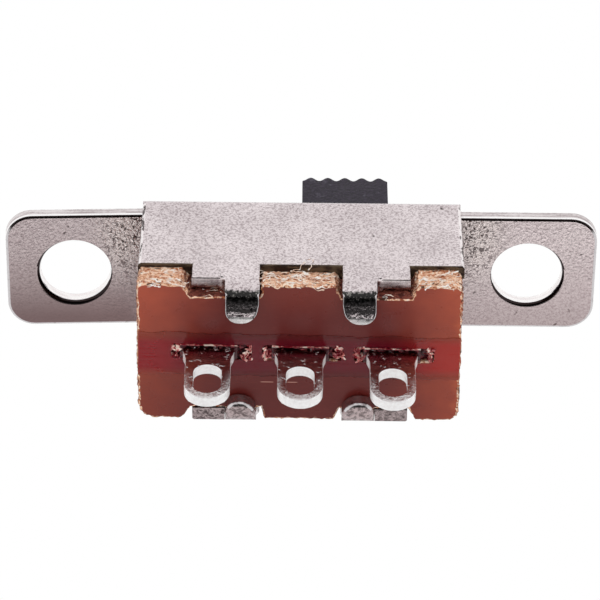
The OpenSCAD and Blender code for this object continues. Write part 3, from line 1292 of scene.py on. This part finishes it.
    def thicken(self, piece: Workpiece) -> None:
        """Gives the skin its sheet thickness, inwards.

        Args:
            piece: the piece so far.
        """
        piece.face_out()
        top = max(piece.obj.data.polygons, key=lambda f: f.center.z)
        if top.normal.z < 0:
            with piece.edit():
                piece.everything()
                bpy.ops.mesh.flip_normals()
        piece.apply("SOLIDIFY", thickness=self.sheet, offset=-1.0, use_even_offset=True)

    def pierce(self, piece: Workpiece) -> None:
        """Cuts the two mounting holes and the knob's slot.

        Args:
            piece: the piece so far.
        """
        for side, roll in zip((-1, 1), self.hole_rolls):
            piece.minus(self.punch(side, roll))
        half_l, half_w = self.slot_half
        piece.minus(Workpiece.box("punch", (-half_l, -half_w, -2.0), (half_l, half_w, 2.0)))

    def punch(self, side: int, roll: float) -> Workpiece:
        """Tool of one mounting hole, whose lower end flares where the rim rolls over.

        Args:
            side: -1 for the left hole, 1 for the right.
            roll: radius of the rim's rounding.

        Returns:
            The tool.
        """
        x = side * self.hole_x
        tool = Workpiece.rod("punch", self.hole_r, (x, 0.0, roll - self.sheet), (x, 0.0, 1.0), sides=96)
        angles = [math.pi / 2 * step / 6 for step in range(7)]
        drift_x, drift_y = side * self.hole_drift[0], self.hole_drift[1]
        with tool.edit():
            tool.faces(lambda c, n: n.z < -0.9)
            for start, end in zip(angles, angles[1:]):
                low, high = (roll / 2 * (1 - math.cos(a)) for a in (start, end))
                tool.extrude(in_z(roll * (math.sin(start) - math.sin(end))))
                grow = (self.hole_r + high) / (self.hole_r + low)
                tool.swell((grow, grow, 1.0), (x + drift_x * low, drift_y * low, 0.0))
                tool.move((drift_x * (high - low), drift_y * (high - low), 0.0))
            tool.extrude(in_z(-1.0))
        return tool

    def round_edges(self, piece: Workpiece) -> None:
        """Rolls the sheared edges over and breaks those of the outer skin.

        Args:
            piece: the piece so far.
        """
        under = -self.sheet
        foot = self.wafer_low.z
        body = self.body_half
        wall = self.high.y
        slit = self.tab_x + self.tongue_w
        base = self.wafer_high.z - self.front_shoulder
        past_hole = self.hole_r + 0.3
        tongue_z = foot - self.sheet / 2
        with piece.edit():
            piece.creases(lambda p: near(p.z, under) and abs(p.x) > body + self.neck - TOUCH
                          and self.hole_distance(p) > past_hole)
            piece.bevel(self.flange_roll)
            piece.creases(lambda p: near(abs(p.x), body) and near(abs(p.y), wall) and p.z < self.wall_top)
            piece.bevel(self.wall_roll)
            piece.creases(lambda p: near(p.z, base) and near(p.y, self.sheet - wall)
                          and abs(p.x) > slit + self.fillet - TOUCH)
            piece.bevel(self.shoulder_roll, clamp=False)
            piece.creases(lambda p: p.z < tongue_z and p.y < 0)
            piece.bevel(self.tongue_roll, segments=2, clamp=False)
            piece.creases(lambda p: p.z < tongue_z and p.y > 0)
            piece.bevel(self.rear_roll, clamp=False)
            piece.creases(lambda p: near(abs(p.y), wall) and p.z < self.wall_top
                          and (p.y < 0 or not near(abs(p.x), slit, self.slit_reach)))
            piece.bevel(self.wall_break, clamp=False)
            piece.creases(lambda p: near(p.z, 0.0) and abs(p.x) > body + self.neck - TOUCH)
            piece.bevel(self.edge_break, segments=2, clamp=False)

    def flatten_tips(self, piece: Workpiece) -> None:
        """Coins a small flat on the lower side of each front tongue's tip.

        Args:
            piece: the piece so far.
        """
        wall = self.high.y
        low = min(v.co.z for v in piece.obj.data.vertices if v.co.y < 0)
        reach = self.tab_x + self.tab_w
        piece.minus(Workpiece.box("anvil", (-reach, -wall, low - 1.0), (reach, 0.0, low + self.tip_flat)))

    def hole_distance(self, corner: Vector) -> float:
        """Distance from a corner to the nearer hole's axis."""
        return math.hypot(abs(corner.x) - self.hole_x, corner.y)

    def lean_left_flange(self, piece: Workpiece) -> None:
        """Leans the left flange down a little, as it came from the press."""
        with piece.edit():
            piece.corners(lambda p: p.x < -self.body_half - 0.05)
            piece.turn(-LEAN_DEG, "Y", (-self.body_half, 0.0, -self.sheet / 2))

    def dress(self, piece: Workpiece) -> None:
        """Gives the skin, the sheared sides and the rolled rims their finishes, with painted shade in the
        gaps and painted dark reflections on the rims and folds.

        Args:
            piece: the piece so far.
        """
        flange = self.body_half + 0.01
        foot = self.wafer_low.z
        slit = self.tab_x + self.tongue_w
        wall = self.high.y
        rim = self.hole_r + 0.02
        folded = foot - 0.05
        wall_end = -4.5
        bore = ShearedSteel("bore", (0.86, 0.80, 0.80), (1.0, 0.98, 0.97))
        smeared = ShearedSteel("smeared_edge", (0.34, 0.27, 0.28), (1.0, 0.90, 0.90), (0.8, 6.0, 6.0))
        darker_tab = NickelSkin("darker_tab_plate", (0.52, 0.42, 0.42), (0.10, 0.075, 0.075), 7.0, 0.03)
        piece.paint(
            NickelSkin(),
            # Painted light: a lighter copy of the plate for the faces turned down
            (NickelUnderside(), lambda c, n: n.z < -0.5 and (abs(c.x) > flange or c.y > 0)),
            (ShearedSteel(), lambda c, n: abs(n.z) < 0.3 and abs(c.x) > flange and c.z > -0.8),
            (BURRED_EDGE, lambda c, n: 0.3 < n.z < 0.95 and abs(c.x) > flange and c.y < -1.2),
            (bore, lambda c, n: abs(n.z) < 0.3 and self.hole_distance(c) < rim),
            (smeared, lambda c, n: abs(n.z) > 0.5 and foot < c.z < wall_end),
            (BURRED_EDGE, lambda c, n: abs(n.x) > 0.2 and abs(c.x) > self.body_half - 0.2
             and c.z < self.wall_z),
            (ShearedSteel(), lambda c, n: abs(n.x) > 0.9 and c.z < self.wall_z),
            # Painted shade on the walls' cut foot, against the wafer
            (GAP_SHADE, lambda c, n: n.z < -0.5 and near(c.z, self.wafer_high.z, 0.05)),
            # Painted shade in the rear slits beside the tongues
            (GAP_SHADE, lambda c, n: abs(n.x) > 0.5 and c.z < foot + 0.5 and c.y > 0
             and near(abs(c.x), slit, self.slit_reach)),
            (RolledRim(), lambda c, n: 0.3 < abs(n.z) < 0.98 and abs(c.x) > flange and c.z < -0.2),
            (ScuffedTongue(), lambda c, n: c.z < foot + 0.2 and -0.995 < n.z < -0.1
             and abs(c.x) < slit + TOUCH and 0.01 - wall < c.y < 0),
            # A darker copy of the plate on the rear tabs' lower faces
            (darker_tab, lambda c, n: c.z < foot + 0.3 and n.z < -0.3 and c.y > 0),
            (RolledRim(), lambda c, n: c.z < folded and n.y < -0.12 and 0.0 < c.y < wall - 0.3),
            (RolledRim(), lambda c, n: c.z < folded and abs(n.x) > 0.3 and c.y < 0),
            (RolledRim(), lambda c, n: c.z < folded and n.y > 0.3 and c.y < 0),
            (bore, lambda c, n: c.z < foot - 0.3 and n.z < -0.995 and c.y < 0))

    def build(self) -> None:
        """Makes, dresses and ties the frame."""
        piece = self.skin()
        self.tabs(piece)
        self.thicken(piece)
        self.pierce(piece)
        self.round_edges(piece)
        self.flatten_tips(piece)
        self.dress(piece)
        self.lean_left_flange(piece)
        piece.finish(Body.HOUSING, Slot.STEEL, ("frame",))


# ---------------------------------------------------------------- wafer


@dataclass
class OnWafer:
    """A sub-assembly whose places come from the wafer."""

    low: Vector = field(default_factory=lambda: node_box("wafer")[0])
    high: Vector = field(default_factory=lambda: node_box("wafer")[1])

    @staticmethod
    def skew(piece: Workpiece) -> None:
        """Sets a piece askew, as the row of lugs stands."""
        piece.place(ORIGIN, (0.0, 0.0, ROW_SKEW_DEG))

    @staticmethod
    def slot_tool(x: float, half: Pair, bottom: float, top: float) -> Workpiece:
        """Tool that cuts one round-cornered slot.

        Args:
            x: the slot's middle.
            half: half the slot's length and half its width.
            bottom: the tool's lower end.
            top: the tool's upper end.

        Returns:
            The tool.
        """
        half_l, half_w = half
        tool = Workpiece.box("slot", (x - half_l, -half_w, bottom), (x + half_l, half_w, top))
        with tool.edit():
            tool.edges(lambda p: near(abs(p.x - x), half_l) and near(abs(p.y), half_w))
            tool.bevel(half_w * 0.6)
        return tool


@dataclass
class Wafer(OnWafer):
    """Punched laminate wafer with torn edges, notches for the tabs and slots for the terminals."""

    shift: float = -0.045
    notch_x: Pair = (1.28, 3.54)
    notch_floor: float = 2.11
    rear_left_flare: float = 0.09
    inner_flares: Pair = (0.04, 0.20)
    outer_flares: Pair = (0.30, 0.22)
    corners: tuple[float, float, float, float] = (0.2, 0.25, 0.5, 0.35)
    rim: float = 0.06
    front_lean: Pair = (0.09, 0.22)
    cell: float = 0.08
    # Depth and grain of the coarse tears and of the fine fuzz
    tear: Pair = (0.14, 0.16)
    fuzz: Pair = (0.07, 0.05)
    front_depth: float = 0.3
    lean_half: float = 1.6
    # Reach along X of the painted shade on the notch floors and slot walls
    shaded_x: Pair = (1.2, 3.8)
    rear_y: float = 2.2
    slot_half: Pair = (1.32, 0.295)

    def board(self) -> Workpiece:
        """The board with its corners broken and its notches cut.

        Returns:
            The board, with flat sides.
        """
        low, high = self.low, self.high
        piece = Workpiece.box("wafer_board", (low.x + self.shift, low.y, low.z),
                              (high.x + self.shift, high.y, high.z))
        ends = ((low.x, low.y), (high.x, low.y), (low.x, high.y), (high.x, high.y))
        with piece.edit():
            for (x, y), width in zip(ends, self.corners):
                piece.edges(lambda p: near(p.x, x + self.shift) and near(p.y, y)).bevel(width)
        for side_x in (-1, 1):
            for side_y in (-1, 1):
                piece.minus(self.notch(side_x, side_y))
        return piece

    def notch(self, side_x: int, side_y: int) -> Workpiece:
        """Tool that cuts the notch of one tab.

        Args:
            side_x: -1 for the left, 1 for the right.
            side_y: -1 for the front, 1 for the rear.

        Returns:
            The tool.
        """
        inner, outer = self.notch_x
        hand = 0 if side_x < 0 else 1
        widened = self.rear_left_flare if side_x < 0 < side_y else 0.0
        mouth = self.high.y + 0.5
        reach = (mouth - self.notch_floor) / (self.high.y - self.notch_floor)
        tool = Workpiece.box("notch", (inner, self.notch_floor, self.low.z - 1),
                             (outer, mouth, self.high.z + 1))
        with tool.edit():
            for x, flare in ((inner, -self.inner_flares[hand] - widened), (outer, self.outer_flares[hand])):
                tool.corners(lambda p: near(p.x, x) and near(p.y, mouth)).move(in_x(flare * reach))
        tool.place(ORIGIN, size=(float(side_x), float(side_y), 1.0))
        tool.face_out()
        return tool

    def tear_edges(self, piece: Workpiece) -> None:
        """Frays the cut sides and the rim of the lower face.

        Args:
            piece: the piece so far.
        """
        low, high = self.low, self.high
        with piece.edit():
            ends, middle = self.front_lean
            for limit, lean in ((math.inf, ends), (self.lean_half, middle - ends)):
                piece.corners(lambda p: near(p.z, high.z) and p.y < low.y + self.front_depth
                              and abs(p.x) < limit)
                piece.move((0.0, lean, 0.0))
            piece.creases(lambda p: near(p.z, low.z)).bevel(self.rim, segments=2)
            piece.faces(lambda c, n: abs(n.z) > 0.98)
            bpy.ops.mesh.hide(unselected=False)
            piece.comb(0, low.x, high.x, self.cell)
            piece.comb(1, low.y, high.y, self.cell)
            piece.comb(2, low.z + self.rim, high.z, self.cell)
            bpy.ops.mesh.reveal(select=False)
        piece.ruffle("XY", *self.tear)
        piece.ruffle("XY", *self.fuzz)

    def pierce(self, piece: Workpiece) -> None:
        """Cuts the three slots, a little off the terminals' line."""
        for x in stations(SLOT_SHIFT):
            piece.minus(self.slot_tool(x, self.slot_half, self.low.z - 1, self.high.z + 1))

    def build(self) -> None:
        """Makes, dresses and ties the wafer."""
        piece = self.board()
        self.pierce(piece)
        self.tear_edges(piece)
        inner, outer = self.shaded_x
        # Painted shade: the darkest copy of the edge, for the notch floors and the slot walls near them
        shaded_edge = PhenolicEdge("phenolic_edge_shaded", (0.07, 0.012, 0.010), (0.20, 0.045, 0.03),
                              (0.36, 0.12, 0.08))
        # Painted shade: a darker copy of the edge, for the notch sides, the ends and the rear edge
        dark = PhenolicEdge("phenolic_edge_dark", (0.16, 0.035, 0.02), (0.50, 0.20, 0.11),
                            (0.80, 0.58, 0.44))
        piece.paint(
            PhenolicFace(),
            (PhenolicEdge(), lambda c, n: abs(n.z) < 0.97),
            (shaded_edge, lambda c, n: abs(n.z) < 0.97 and inner < abs(c.x) < outer and abs(c.y) < 2.25
             and c.z > self.low.z + 0.035),
            (dark, lambda c, n: abs(n.z) < 0.97 and (abs(n.x) > 0.75 or c.y > self.rear_y)))
        piece.finish(Body.HOUSING, Slot.WAFER, ("wafer",), smooth_deg=50.0)


@dataclass
class Fringe(OnWafer):
    """Loose paper fibres that stand out of the wafer's torn edges."""

    radius: float = 0.013
    length: float = 0.7
    seed: int = 11
    bands: int = 9
    # Start and end along X, place along Y from the front edge or the middle, and number of fibres
    front_rows: tuple[Row, ...] = ((-4.85, -3.85, 0.0, 26), (-1.2, 1.15, 0.05, 46), (3.9, 4.80, 0.0, 26))
    notch_rows: tuple[Row, ...] = ((-3.4, -1.5, -2.1, 12), (1.5, 3.4, -2.1, 12))
    # Place along X, lean and length of two long hairs above the front edge
    hairs: tuple[Point, ...] = ((0.05, -60.0, 1.3), (0.31, -76.0, 0.85))

    def strand(self) -> Workpiece:
        """One straight fibre, ready to bend.

        Returns:
            The fibre.
        """
        half = self.length / 2
        piece = Workpiece.rod("loose_fibres", self.radius, (-half, 0.0, 0.0), (half, 0.0, 0.0), sides=4)
        with piece.edit():
            piece.comb(0, -half, half, self.length / self.bands)
        return piece

    def build(self) -> None:
        """Scatters, bends and ties the fibres."""
        dice = random.Random(self.seed)
        low, high = self.low, self.high
        first = self.strand()
        strands = []
        rows = [(start, end, low.y + inset, count) for start, end, inset, count in self.front_rows]
        for start, end, y, count in (*rows, *self.notch_rows):
            for _ in range(count):
                strand = first.copy()
                across = dice.uniform(-0.04, 0.02)
                place = (dice.uniform(start, end), y - across, dice.uniform(low.z - 0.02, high.z - 0.30))
                turn = (0.0, dice.gauss(0.0, 22.0), dice.gauss(0.0, 7.0))
                size = (dice.uniform(0.35, 1.1), dice.uniform(0.7, 1.5), dice.uniform(0.7, 1.5))
                strand.place(place, turn, size)
                strands.append(strand)
        for x, lean, longer in self.hairs:
            hair = first.copy()
            hair.place((x, low.y - 0.04, high.z + 0.04), (0.0, lean, 0.0), (longer, 1.0, 1.0))
            strands.append(hair)
        first.place((0.55, low.y + 0.05, high.z - 0.62), (0.0, 12.0, 4.0))
        first.gather(strands)
        first.ruffle("XYZ", 0.30, 0.22)
        first.paint(PALE_FIBRE)
        first.finish(Body.HOUSING, Slot.WAFER, smooth_deg=70.0)


# ---------------------------------------------------------------- varnish


@dataclass
class VarnishStripe(OnWafer):
    """Red sealing varnish: the brushed film, the plugs in the slots, the beads and the torn flakes."""

    front: float = -0.7
    rear: float = 0.9
    depth: float = 0.008
    waver: float = 0.2
    slot_half: Pair = (1.30, 0.28)
    plug_z: Pair = (0.16, 0.8)
    bead_half: float = 0.93
    bead_y: Pair = (-0.235, 0.24)
    bead_z: Pair = (-0.075, 0.1)
    lip_half: float = 0.92
    lip_y: Pair = (-0.262, -0.228)
    lip_z: Pair = (-0.04, 0.02)
    flake: Point = (0.11, 0.025, 0.07)
    flake_reach: Pair = (-1.12, 1.20)
    flakes_per_end: int = 11
    seed: int = 5

    def film(self) -> Workpiece:
        """The brushed film under the wafer, with wavering borders.

        Returns:
            The film.
        """
        z = self.low.z - self.depth
        start = (self.low.x - 0.03, self.front, z)
        end = (self.high.x - 0.06, self.rear, z)
        piece = Workpiece.sheet("varnish_film", start, end, columns=120, rows=12)
        rim = piece.weigh("rim", lambda p: near(p.y, self.front) or near(p.y, self.rear))
        piece.ruffle("Y", self.waver, 0.9, rim)
        piece.ruffle("Y", self.waver / 3, 0.15, rim)
        piece.ruffle("Z", 0.012, 0.5)
        half_l, half_w = self.slot_half
        piece.apply("SOLIDIFY", thickness=self.depth, offset=1.0 if self.faces_down(piece) else -1.0)
        for x in stations(SLOT_SHIFT):
            tool = self.slot_tool(x, self.slot_half, z - 1, z + 1)
            with tool.edit():
                tool.comb(0, x - half_l, x + half_l, 0.1)
                tool.comb(1, -half_w, half_w, 0.1)
            tool.ruffle("XY", 0.16, 0.16)
            piece.minus(tool)
        return piece

    @staticmethod
    def faces_down(piece: Workpiece) -> bool:
        """Whether a flat sheet's normals point down."""
        return piece.obj.data.polygons[0].normal.z < 0

    def row(self, name: str, half: float, across: Pair, height: Pair, bands: dict[int, float],
            shift: float = 0.0) -> list[Workpiece]:
        """Three alike slabs, one at each lug.

        Args:
            name: the slabs' name.
            half: half their length.
            across: where they start and end along Y.
            height: the same along Z, from the wafer's lower face.
            bands: the bands' width for each axis that is cut.
            shift: how far they stand off the lugs' line.

        Returns:
            The slabs.
        """
        front, rear = across
        bottom, top = (self.low.z + z for z in height)
        return [Workpiece.slab(name, (x - half, front, bottom), (x + half, rear, top), bands)
                for x in stations(shift)]

    def plugs(self) -> list[Workpiece]:
        """Varnish that has run into the slots around the blades.

        Returns:
            One plug per slot.
        """
        half_l, half_w = self.slot_half
        found = self.row("varnish_plug", half_l, (-half_w, half_w), self.plug_z,
                         {0: 0.07, 1: 0.07}, SLOT_SHIFT)
        for plug in found:
            plug.ruffle("Z", 0.3, 0.16)
        return found

    def beads(self) -> list[Workpiece]:
        """Low bead of varnish around the root of each lug.

        Returns:
            One bead per lug.
        """
        found = self.row("varnish_bead", self.bead_half, self.bead_y, self.bead_z, {0: 0.07, 1: 0.06})
        for bead in found:
            bead.soften(0.04)
            bead.ruffle("YZ", 0.07, 0.16)
        return found

    def highlight_lips(self) -> list[Workpiece]:
        """Thin ragged pale lip along the front of each root, a painted highlight line in the colours of torn
        varnish.

        Returns:
            One lip per lug.
        """
        found = self.row("highlight_lip", self.lip_half, self.lip_y, self.lip_z, {0: 0.05})
        for lip in found:
            lip.ruffle("YZ", 0.06, 0.12)
        return found

    def flakes(self) -> Workpiece:
        """Torn flakes of varnish and paper at the ends of the slots.

        Returns:
            The flakes as one piece.
        """
        dice = random.Random(self.seed)
        low = tuple(-half for half in self.flake)
        first = Workpiece.slab("torn_flakes", low, self.flake, {0: 0.06, 2: 0.05})
        copies = []
        for x in stations(SLOT_SHIFT):
            for reach in self.flake_reach:
                end = x + reach
                for _ in range(self.flakes_per_end):
                    flake = first.copy()
                    place = (end + dice.uniform(-0.14, 0.11), dice.uniform(-0.26, 0.26),
                             self.low.z + dice.uniform(-0.03, 0.12))
                    turn = (dice.uniform(-70, 70), dice.uniform(-60, 60), dice.uniform(0, 180))
                    size = (dice.uniform(0.5, 1.3), dice.uniform(0.6, 1.2), dice.uniform(0.5, 1.3))
                    flake.place(place, turn, size)
                    copies.append(flake)
        first.place(in_z(self.low.z + 0.3))
        first.gather(copies)
        first.ruffle("XYZ", 0.22, 0.12)
        # The lips are painted highlight lines along the roots
        first.gather(self.highlight_lips())
        return first

    def build(self) -> None:
        """Makes, dresses and ties the varnish."""
        film = self.film()
        self.skew(film)
        film.paint(RedVarnish())
        film.finish(Body.HOUSING, Slot.VARNISH, ("sealing_varnish",), smooth_deg=50.0)
        first, *rest = self.plugs() + self.beads()
        first.gather(rest)
        self.skew(first)
        first.obj.name = first.obj.data.name = "varnish_plugs"
        first.paint(POOLED_VARNISH)
        first.finish(Body.HOUSING, Slot.VARNISH, smooth_deg=60.0)
        flakes = self.flakes()
        self.skew(flakes)
        flakes.paint(TORN_VARNISH_AND_HIGHLIGHTS)
        flakes.finish(Body.HOUSING, Slot.VARNISH, smooth_deg=40.0)


# ---------------------------------------------------------------- terminals


@dataclass
class Terminal(OnWafer):
    """Stamped terminal: blade, staked root and solder lug with its oblong eye."""

    strip: float = 0.35
    lug_w: float = 1.45
    tip_z: float = -8.48
    eye_w: float = 0.9
    eye_l: float = 1.62
    eye_z: float = -7.37
    root_w: float = 1.65
    tip_stretch: float = 1.2
    root_h: float = 0.78
    flare_h: float = 0.5
    # Share of the root's extra width that is reached at each step up
    flare: tuple[float, ...] = (0.08, 0.35, 0.75, 1.0)
    lug_roll: float = 0.03
    blade_w: float = 2.2
    blade_lift: float = 0.35
    rib_l: float = 1.5
    rib_h: float = 0.15
    rib_out: float = 0.05
    rib_sunk: float = 0.3
    edge_break: float = 0.03

    def lug(self) -> Workpiece:
        """Lug and root below the wafer, with the eye pierced.

        Returns:
            The lug.
        """
        half, side = self.lug_w / 2, self.strip / 2
        foot = self.low.z - self.root_h
        piece = Workpiece.box("terminal_lug", (-half, -side, self.tip_z), (half, side, foot))
        with piece.edit():
            for x in (-half, half):
                piece.creases(lambda p: near(p.z, self.tip_z) and near(p.x, x))
                piece.bevel(half * 0.98, segments=14)
            piece.corners(lambda p: p.z < self.tip_z + half)
            piece.swell((1.0, 1.0, self.tip_stretch), (0.0, 0.0, self.tip_z))
            piece.faces(lambda c, n: n.z > 0.9)
            width = self.lug_w
            for share in self.flare:
                wider = self.lug_w + (self.root_w - self.lug_w) * share
                piece.extrude(in_z(self.flare_h / len(self.flare)))
                piece.swell((wider / width, 1.0, 1.0))
                width = wider
            piece.extrude(in_z(self.high.z - foot - self.flare_h))
        drop = (self.eye_l - self.eye_w) / 2
        for z in (self.eye_z - drop, self.eye_z + drop):
            piece.minus(Workpiece.rod("eye", self.eye_w / 2, (0.0, -1.0, z), (0.0, 1.0, z)))
        return piece.minus(Workpiece.box("eye", (-self.eye_w / 2, -1.0, self.eye_z - drop),
                                         (self.eye_w / 2, 1.0, self.eye_z + drop)))

    def build(self) -> None:
        """Makes, dresses and ties the three terminals."""
        side = self.strip / 2
        blade_top = node_box("terminal_common")[1].z
        first = self.lug()
        blade_foot = self.low.z + self.blade_lift
        half = self.blade_w / 2
        first.plus(Workpiece.box("blade", (-half, -side, blade_foot), (half, side, blade_top)))
        rib_y = side + self.rib_out
        below_eye = self.eye_z - self.eye_l / 2 - 0.05
        lower_rib = (self.low.z - self.rib_h * 0.5, self.low.z + self.rib_sunk)
        upper_rib = (self.high.z - self.rib_sunk, self.high.z + self.rib_h)
        for z0, z1 in (lower_rib, upper_rib):
            first.plus(Workpiece.box("rib", (-self.rib_l / 2, -rib_y, z0), (self.rib_l / 2, rib_y, z1)))
        with first.edit():
            first.creases(lambda p: near(abs(p.y), side) and p.z < self.low.z - 0.1
                          and (abs(p.x) > self.lug_w / 2 - TOUCH or p.z < below_eye))
            first.bevel(self.lug_roll, segments=2, clamp=False)
        first.soften(self.edge_break)
        pieces = [first, first.copy(), first.copy()]
        for piece, name in zip(pieces, ("terminal_left", "terminal_common", "terminal_right")):
            low, high = node_box(name)
            piece.place(in_x((low.x + high.x) / 2))
            self.skew(piece)
            with piece.edit():
                piece.corners(lambda p: p.z > blade_foot - TOUCH).turn(-ROW_SKEW_DEG)
            piece.obj.name = piece.obj.data.name = f"{name}_strip"
            piece.paint(TerminalPlate(), (TerminalPlate("terminal_rim", rim=True),
                                          lambda c, n: abs(n.y) < 0.5 and c.z < self.low.z - 0.3))
            piece.finish(Body.HOUSING, Slot.TERMINAL, (name,))


# ---------------------------------------------------------------- slider


@dataclass
class Slider:
    """Moulded slider: ribbed knob on a carriage that holds the contact clip."""

    knob_l: float = 2.92
    knob_w: float = 2.0
    knob_sunk: float = 0.3
    ridge_count: int = 5
    ridge_d: float = 0.22
    steps: int = 12
    carriage_top: float = -0.5
    carriage_r: float = 0.3
    edge: float = 0.07
    merge: float = 0.003
    channel: float = 0.325
    blade_play: float = 0.12
    clip_play: float = 0.02
    carriage_edge: float = 0.05
    low: Vector = field(default_factory=lambda: node_box("slider")[0])
    high: Vector = field(default_factory=lambda: node_box("slider")[1])

    def knob(self) -> Workpiece:
        """The knob with its round ridges.

        Returns:
            The knob.
        """
        centre = (self.low.x + self.high.x) / 2
        x0, x1 = centre - self.knob_l / 2, centre + self.knob_l / 2
        half = self.knob_w / 2
        top = self.high.z
        root = self.carriage_top - self.knob_sunk
        piece = Workpiece.box("slider_moulding", (x0, -half, root), (x1, half, top))
        count = self.ridge_count * self.steps
        with piece.edit():
            piece.comb(0, x0, x1, self.knob_l / count)
            for index in range(count + 1):
                x = x0 + self.knob_l * index / count
                fall = self.ridge_d * (1 + math.cos(2 * math.pi * index / self.steps)) / 2
                piece.corners(lambda p: near(p.x, x, 1e-3) and near(p.z, top)).move(in_z(-fall))
            piece.creases(lambda p: p.z > top - self.ridge_d - 0.01).bevel(self.edge)
            piece.creases(lambda p: near(abs(p.x - centre), self.knob_l / 2, 0.15) and p.z < top)
            piece.bevel(self.edge)
            piece.weld(self.merge)
        return piece

    def carriage(self) -> Workpiece:
        """The carriage with its channel for the blades and its pocket for the clip.

        Returns:
            The carriage.
        """
        low, high = self.low, self.high
        clip_low, clip_high = node_box("contact_clip")
        blade_high = node_box("terminal_common")[1]
        piece = Workpiece.box("carriage", (low.x, low.y, low.z), (high.x, high.y, self.carriage_top))
        with piece.edit():
            for x in (low.x, high.x):
                for y in (low.y, high.y):
                    piece.edges(lambda p: near(p.x, x) and near(p.y, y))
                    piece.bevel(self.carriage_r, segments=5)
        roof = blade_high.z + self.blade_play
        piece.minus(Workpiece.box("channel", (low.x - 1, -self.channel, low.z - 1),
                                  (high.x + 1, self.channel, roof)))
        play = self.clip_play
        piece.minus(Workpiece.box("pocket", (clip_low.x - play, clip_low.y - play, low.z - 1),
                                  (clip_high.x + play, clip_high.y + play, clip_high.z)))
        piece.soften(self.carriage_edge)
        return piece

    def build(self) -> None:
        """Makes, dresses and ties the slider."""
        piece = self.knob()
        piece.plus(self.carriage())
        piece.paint(BlackPlastic())
        piece.finish(Body.SLIDER, Slot.PLASTIC, ("slider",))


# ---------------------------------------------------------------- stage


@dataclass
class Studio:
    """Camera, light and the pale floor."""

    target: Point = (-0.025, 1.015, -0.633)
    distance: float = 114.376
    azimuth_deg: float = -0.111
    elevation_deg: float = -58.048
    roll_deg: float = 0.536
    lens: float = 204.38
    floor_z: float = -135.0
    dark_elevation_deg: float = -80.0
    dark_reach_deg: Pair = (32.1, 41.1)
    dark_level: float = 0.045
    floor_half: float = 1500.0

    def camera(self) -> None:
        """Sets the camera in front of and below the switch."""
        turns = (self.azimuth_deg, self.elevation_deg, self.roll_deg)
        azimuth, elevation, roll = (math.radians(turn) for turn in turns)
        back = Vector((math.sin(azimuth) * math.cos(elevation), -math.cos(azimuth) * math.cos(elevation),
                       math.sin(elevation)))
        right = Vector((math.cos(azimuth), math.sin(azimuth), 0.0))
        up = back.cross(right)
        side = math.cos(roll) * right + math.sin(roll) * up
        top = math.cos(roll) * up - math.sin(roll) * right
        data = bpy.data.cameras.new("camera")
        data.lens = self.lens
        data.clip_start = 0.001
        camera = bpy.data.objects.new("camera", data)
        turned = Matrix((side, top, back)).transposed().to_4x4()
        turned.translation = (Vector(self.target) + self.distance * back) * MM
        camera.matrix_world = turned
        bpy.context.scene.collection.objects.link(camera)
        bpy.context.scene.camera = camera

    def world(self) -> None:
        """White surroundings with the dark of the studio below the camera."""
        world = bpy.data.worlds.new("studio")
        world.use_nodes = True
        bpy.context.scene.world = world
        tree = world.node_tree
        background = tree.nodes["Background"]
        elevation = math.radians(self.dark_elevation_deg)
        inner, outer = (math.cos(math.radians(a)) for a in self.dark_reach_deg)
        dark = (0.0, -math.cos(elevation), math.sin(elevation))
        where = tree.nodes.new("ShaderNodeTexCoord")
        facing = Signal(tree, where.outputs["Generated"]).through(
            "ShaderNodeVectorMath", 0, "Value", {1: dark}, operation="DOT_PRODUCT")
        shade = facing.span(outer, inner, 1.0, self.dark_level)
        path = tree.nodes.new("ShaderNodeLightPath")
        rays = ("Is Camera Ray", "Is Transmission Ray")
        camera, through = (Signal(tree, path.outputs[ray]) for ray in rays)
        camera.most(through).most(shade).into(background.inputs["Strength"])
        background.inputs["Color"].default_value = (1.0, 1.0, 1.0, 1.0)

    def floor(self) -> None:
        """Lays a pale floor below the camera's lowest place."""
        half = self.floor_half
        piece = Workpiece.sheet("floor", (-half, -half, self.floor_z), (half, half, self.floor_z))
        piece.paint(FLOOR_PAPER)
        piece.obj.scale = (MM, MM, MM)
        piece.hold()
        apply_place()
        piece.obj.visible_glossy = False

    def build(self) -> None:
        """Sets the whole studio."""
        self.camera()
        self.world()
        self.floor()
        bpy.context.scene.view_settings.view_transform = "Standard"


def dress_clip() -> None:
    """Gives the contact clip, which keeps its CAD shape, its finish."""
    Workpiece(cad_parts["contact_clip"]).paint(RUBBED_BRONZE)


def main() -> None:
    """Builds the studio and every piece."""
    logging.basicConfig(level=logging.INFO, format="%(name)s %(message)s")
    for assembly in (Studio(), SheetFrame(), Wafer(), Fringe(), VarnishStripe(), Terminal(), Slider()):
        assembly.build()
    dress_clip()


if __name__ == "__main__":
    main()
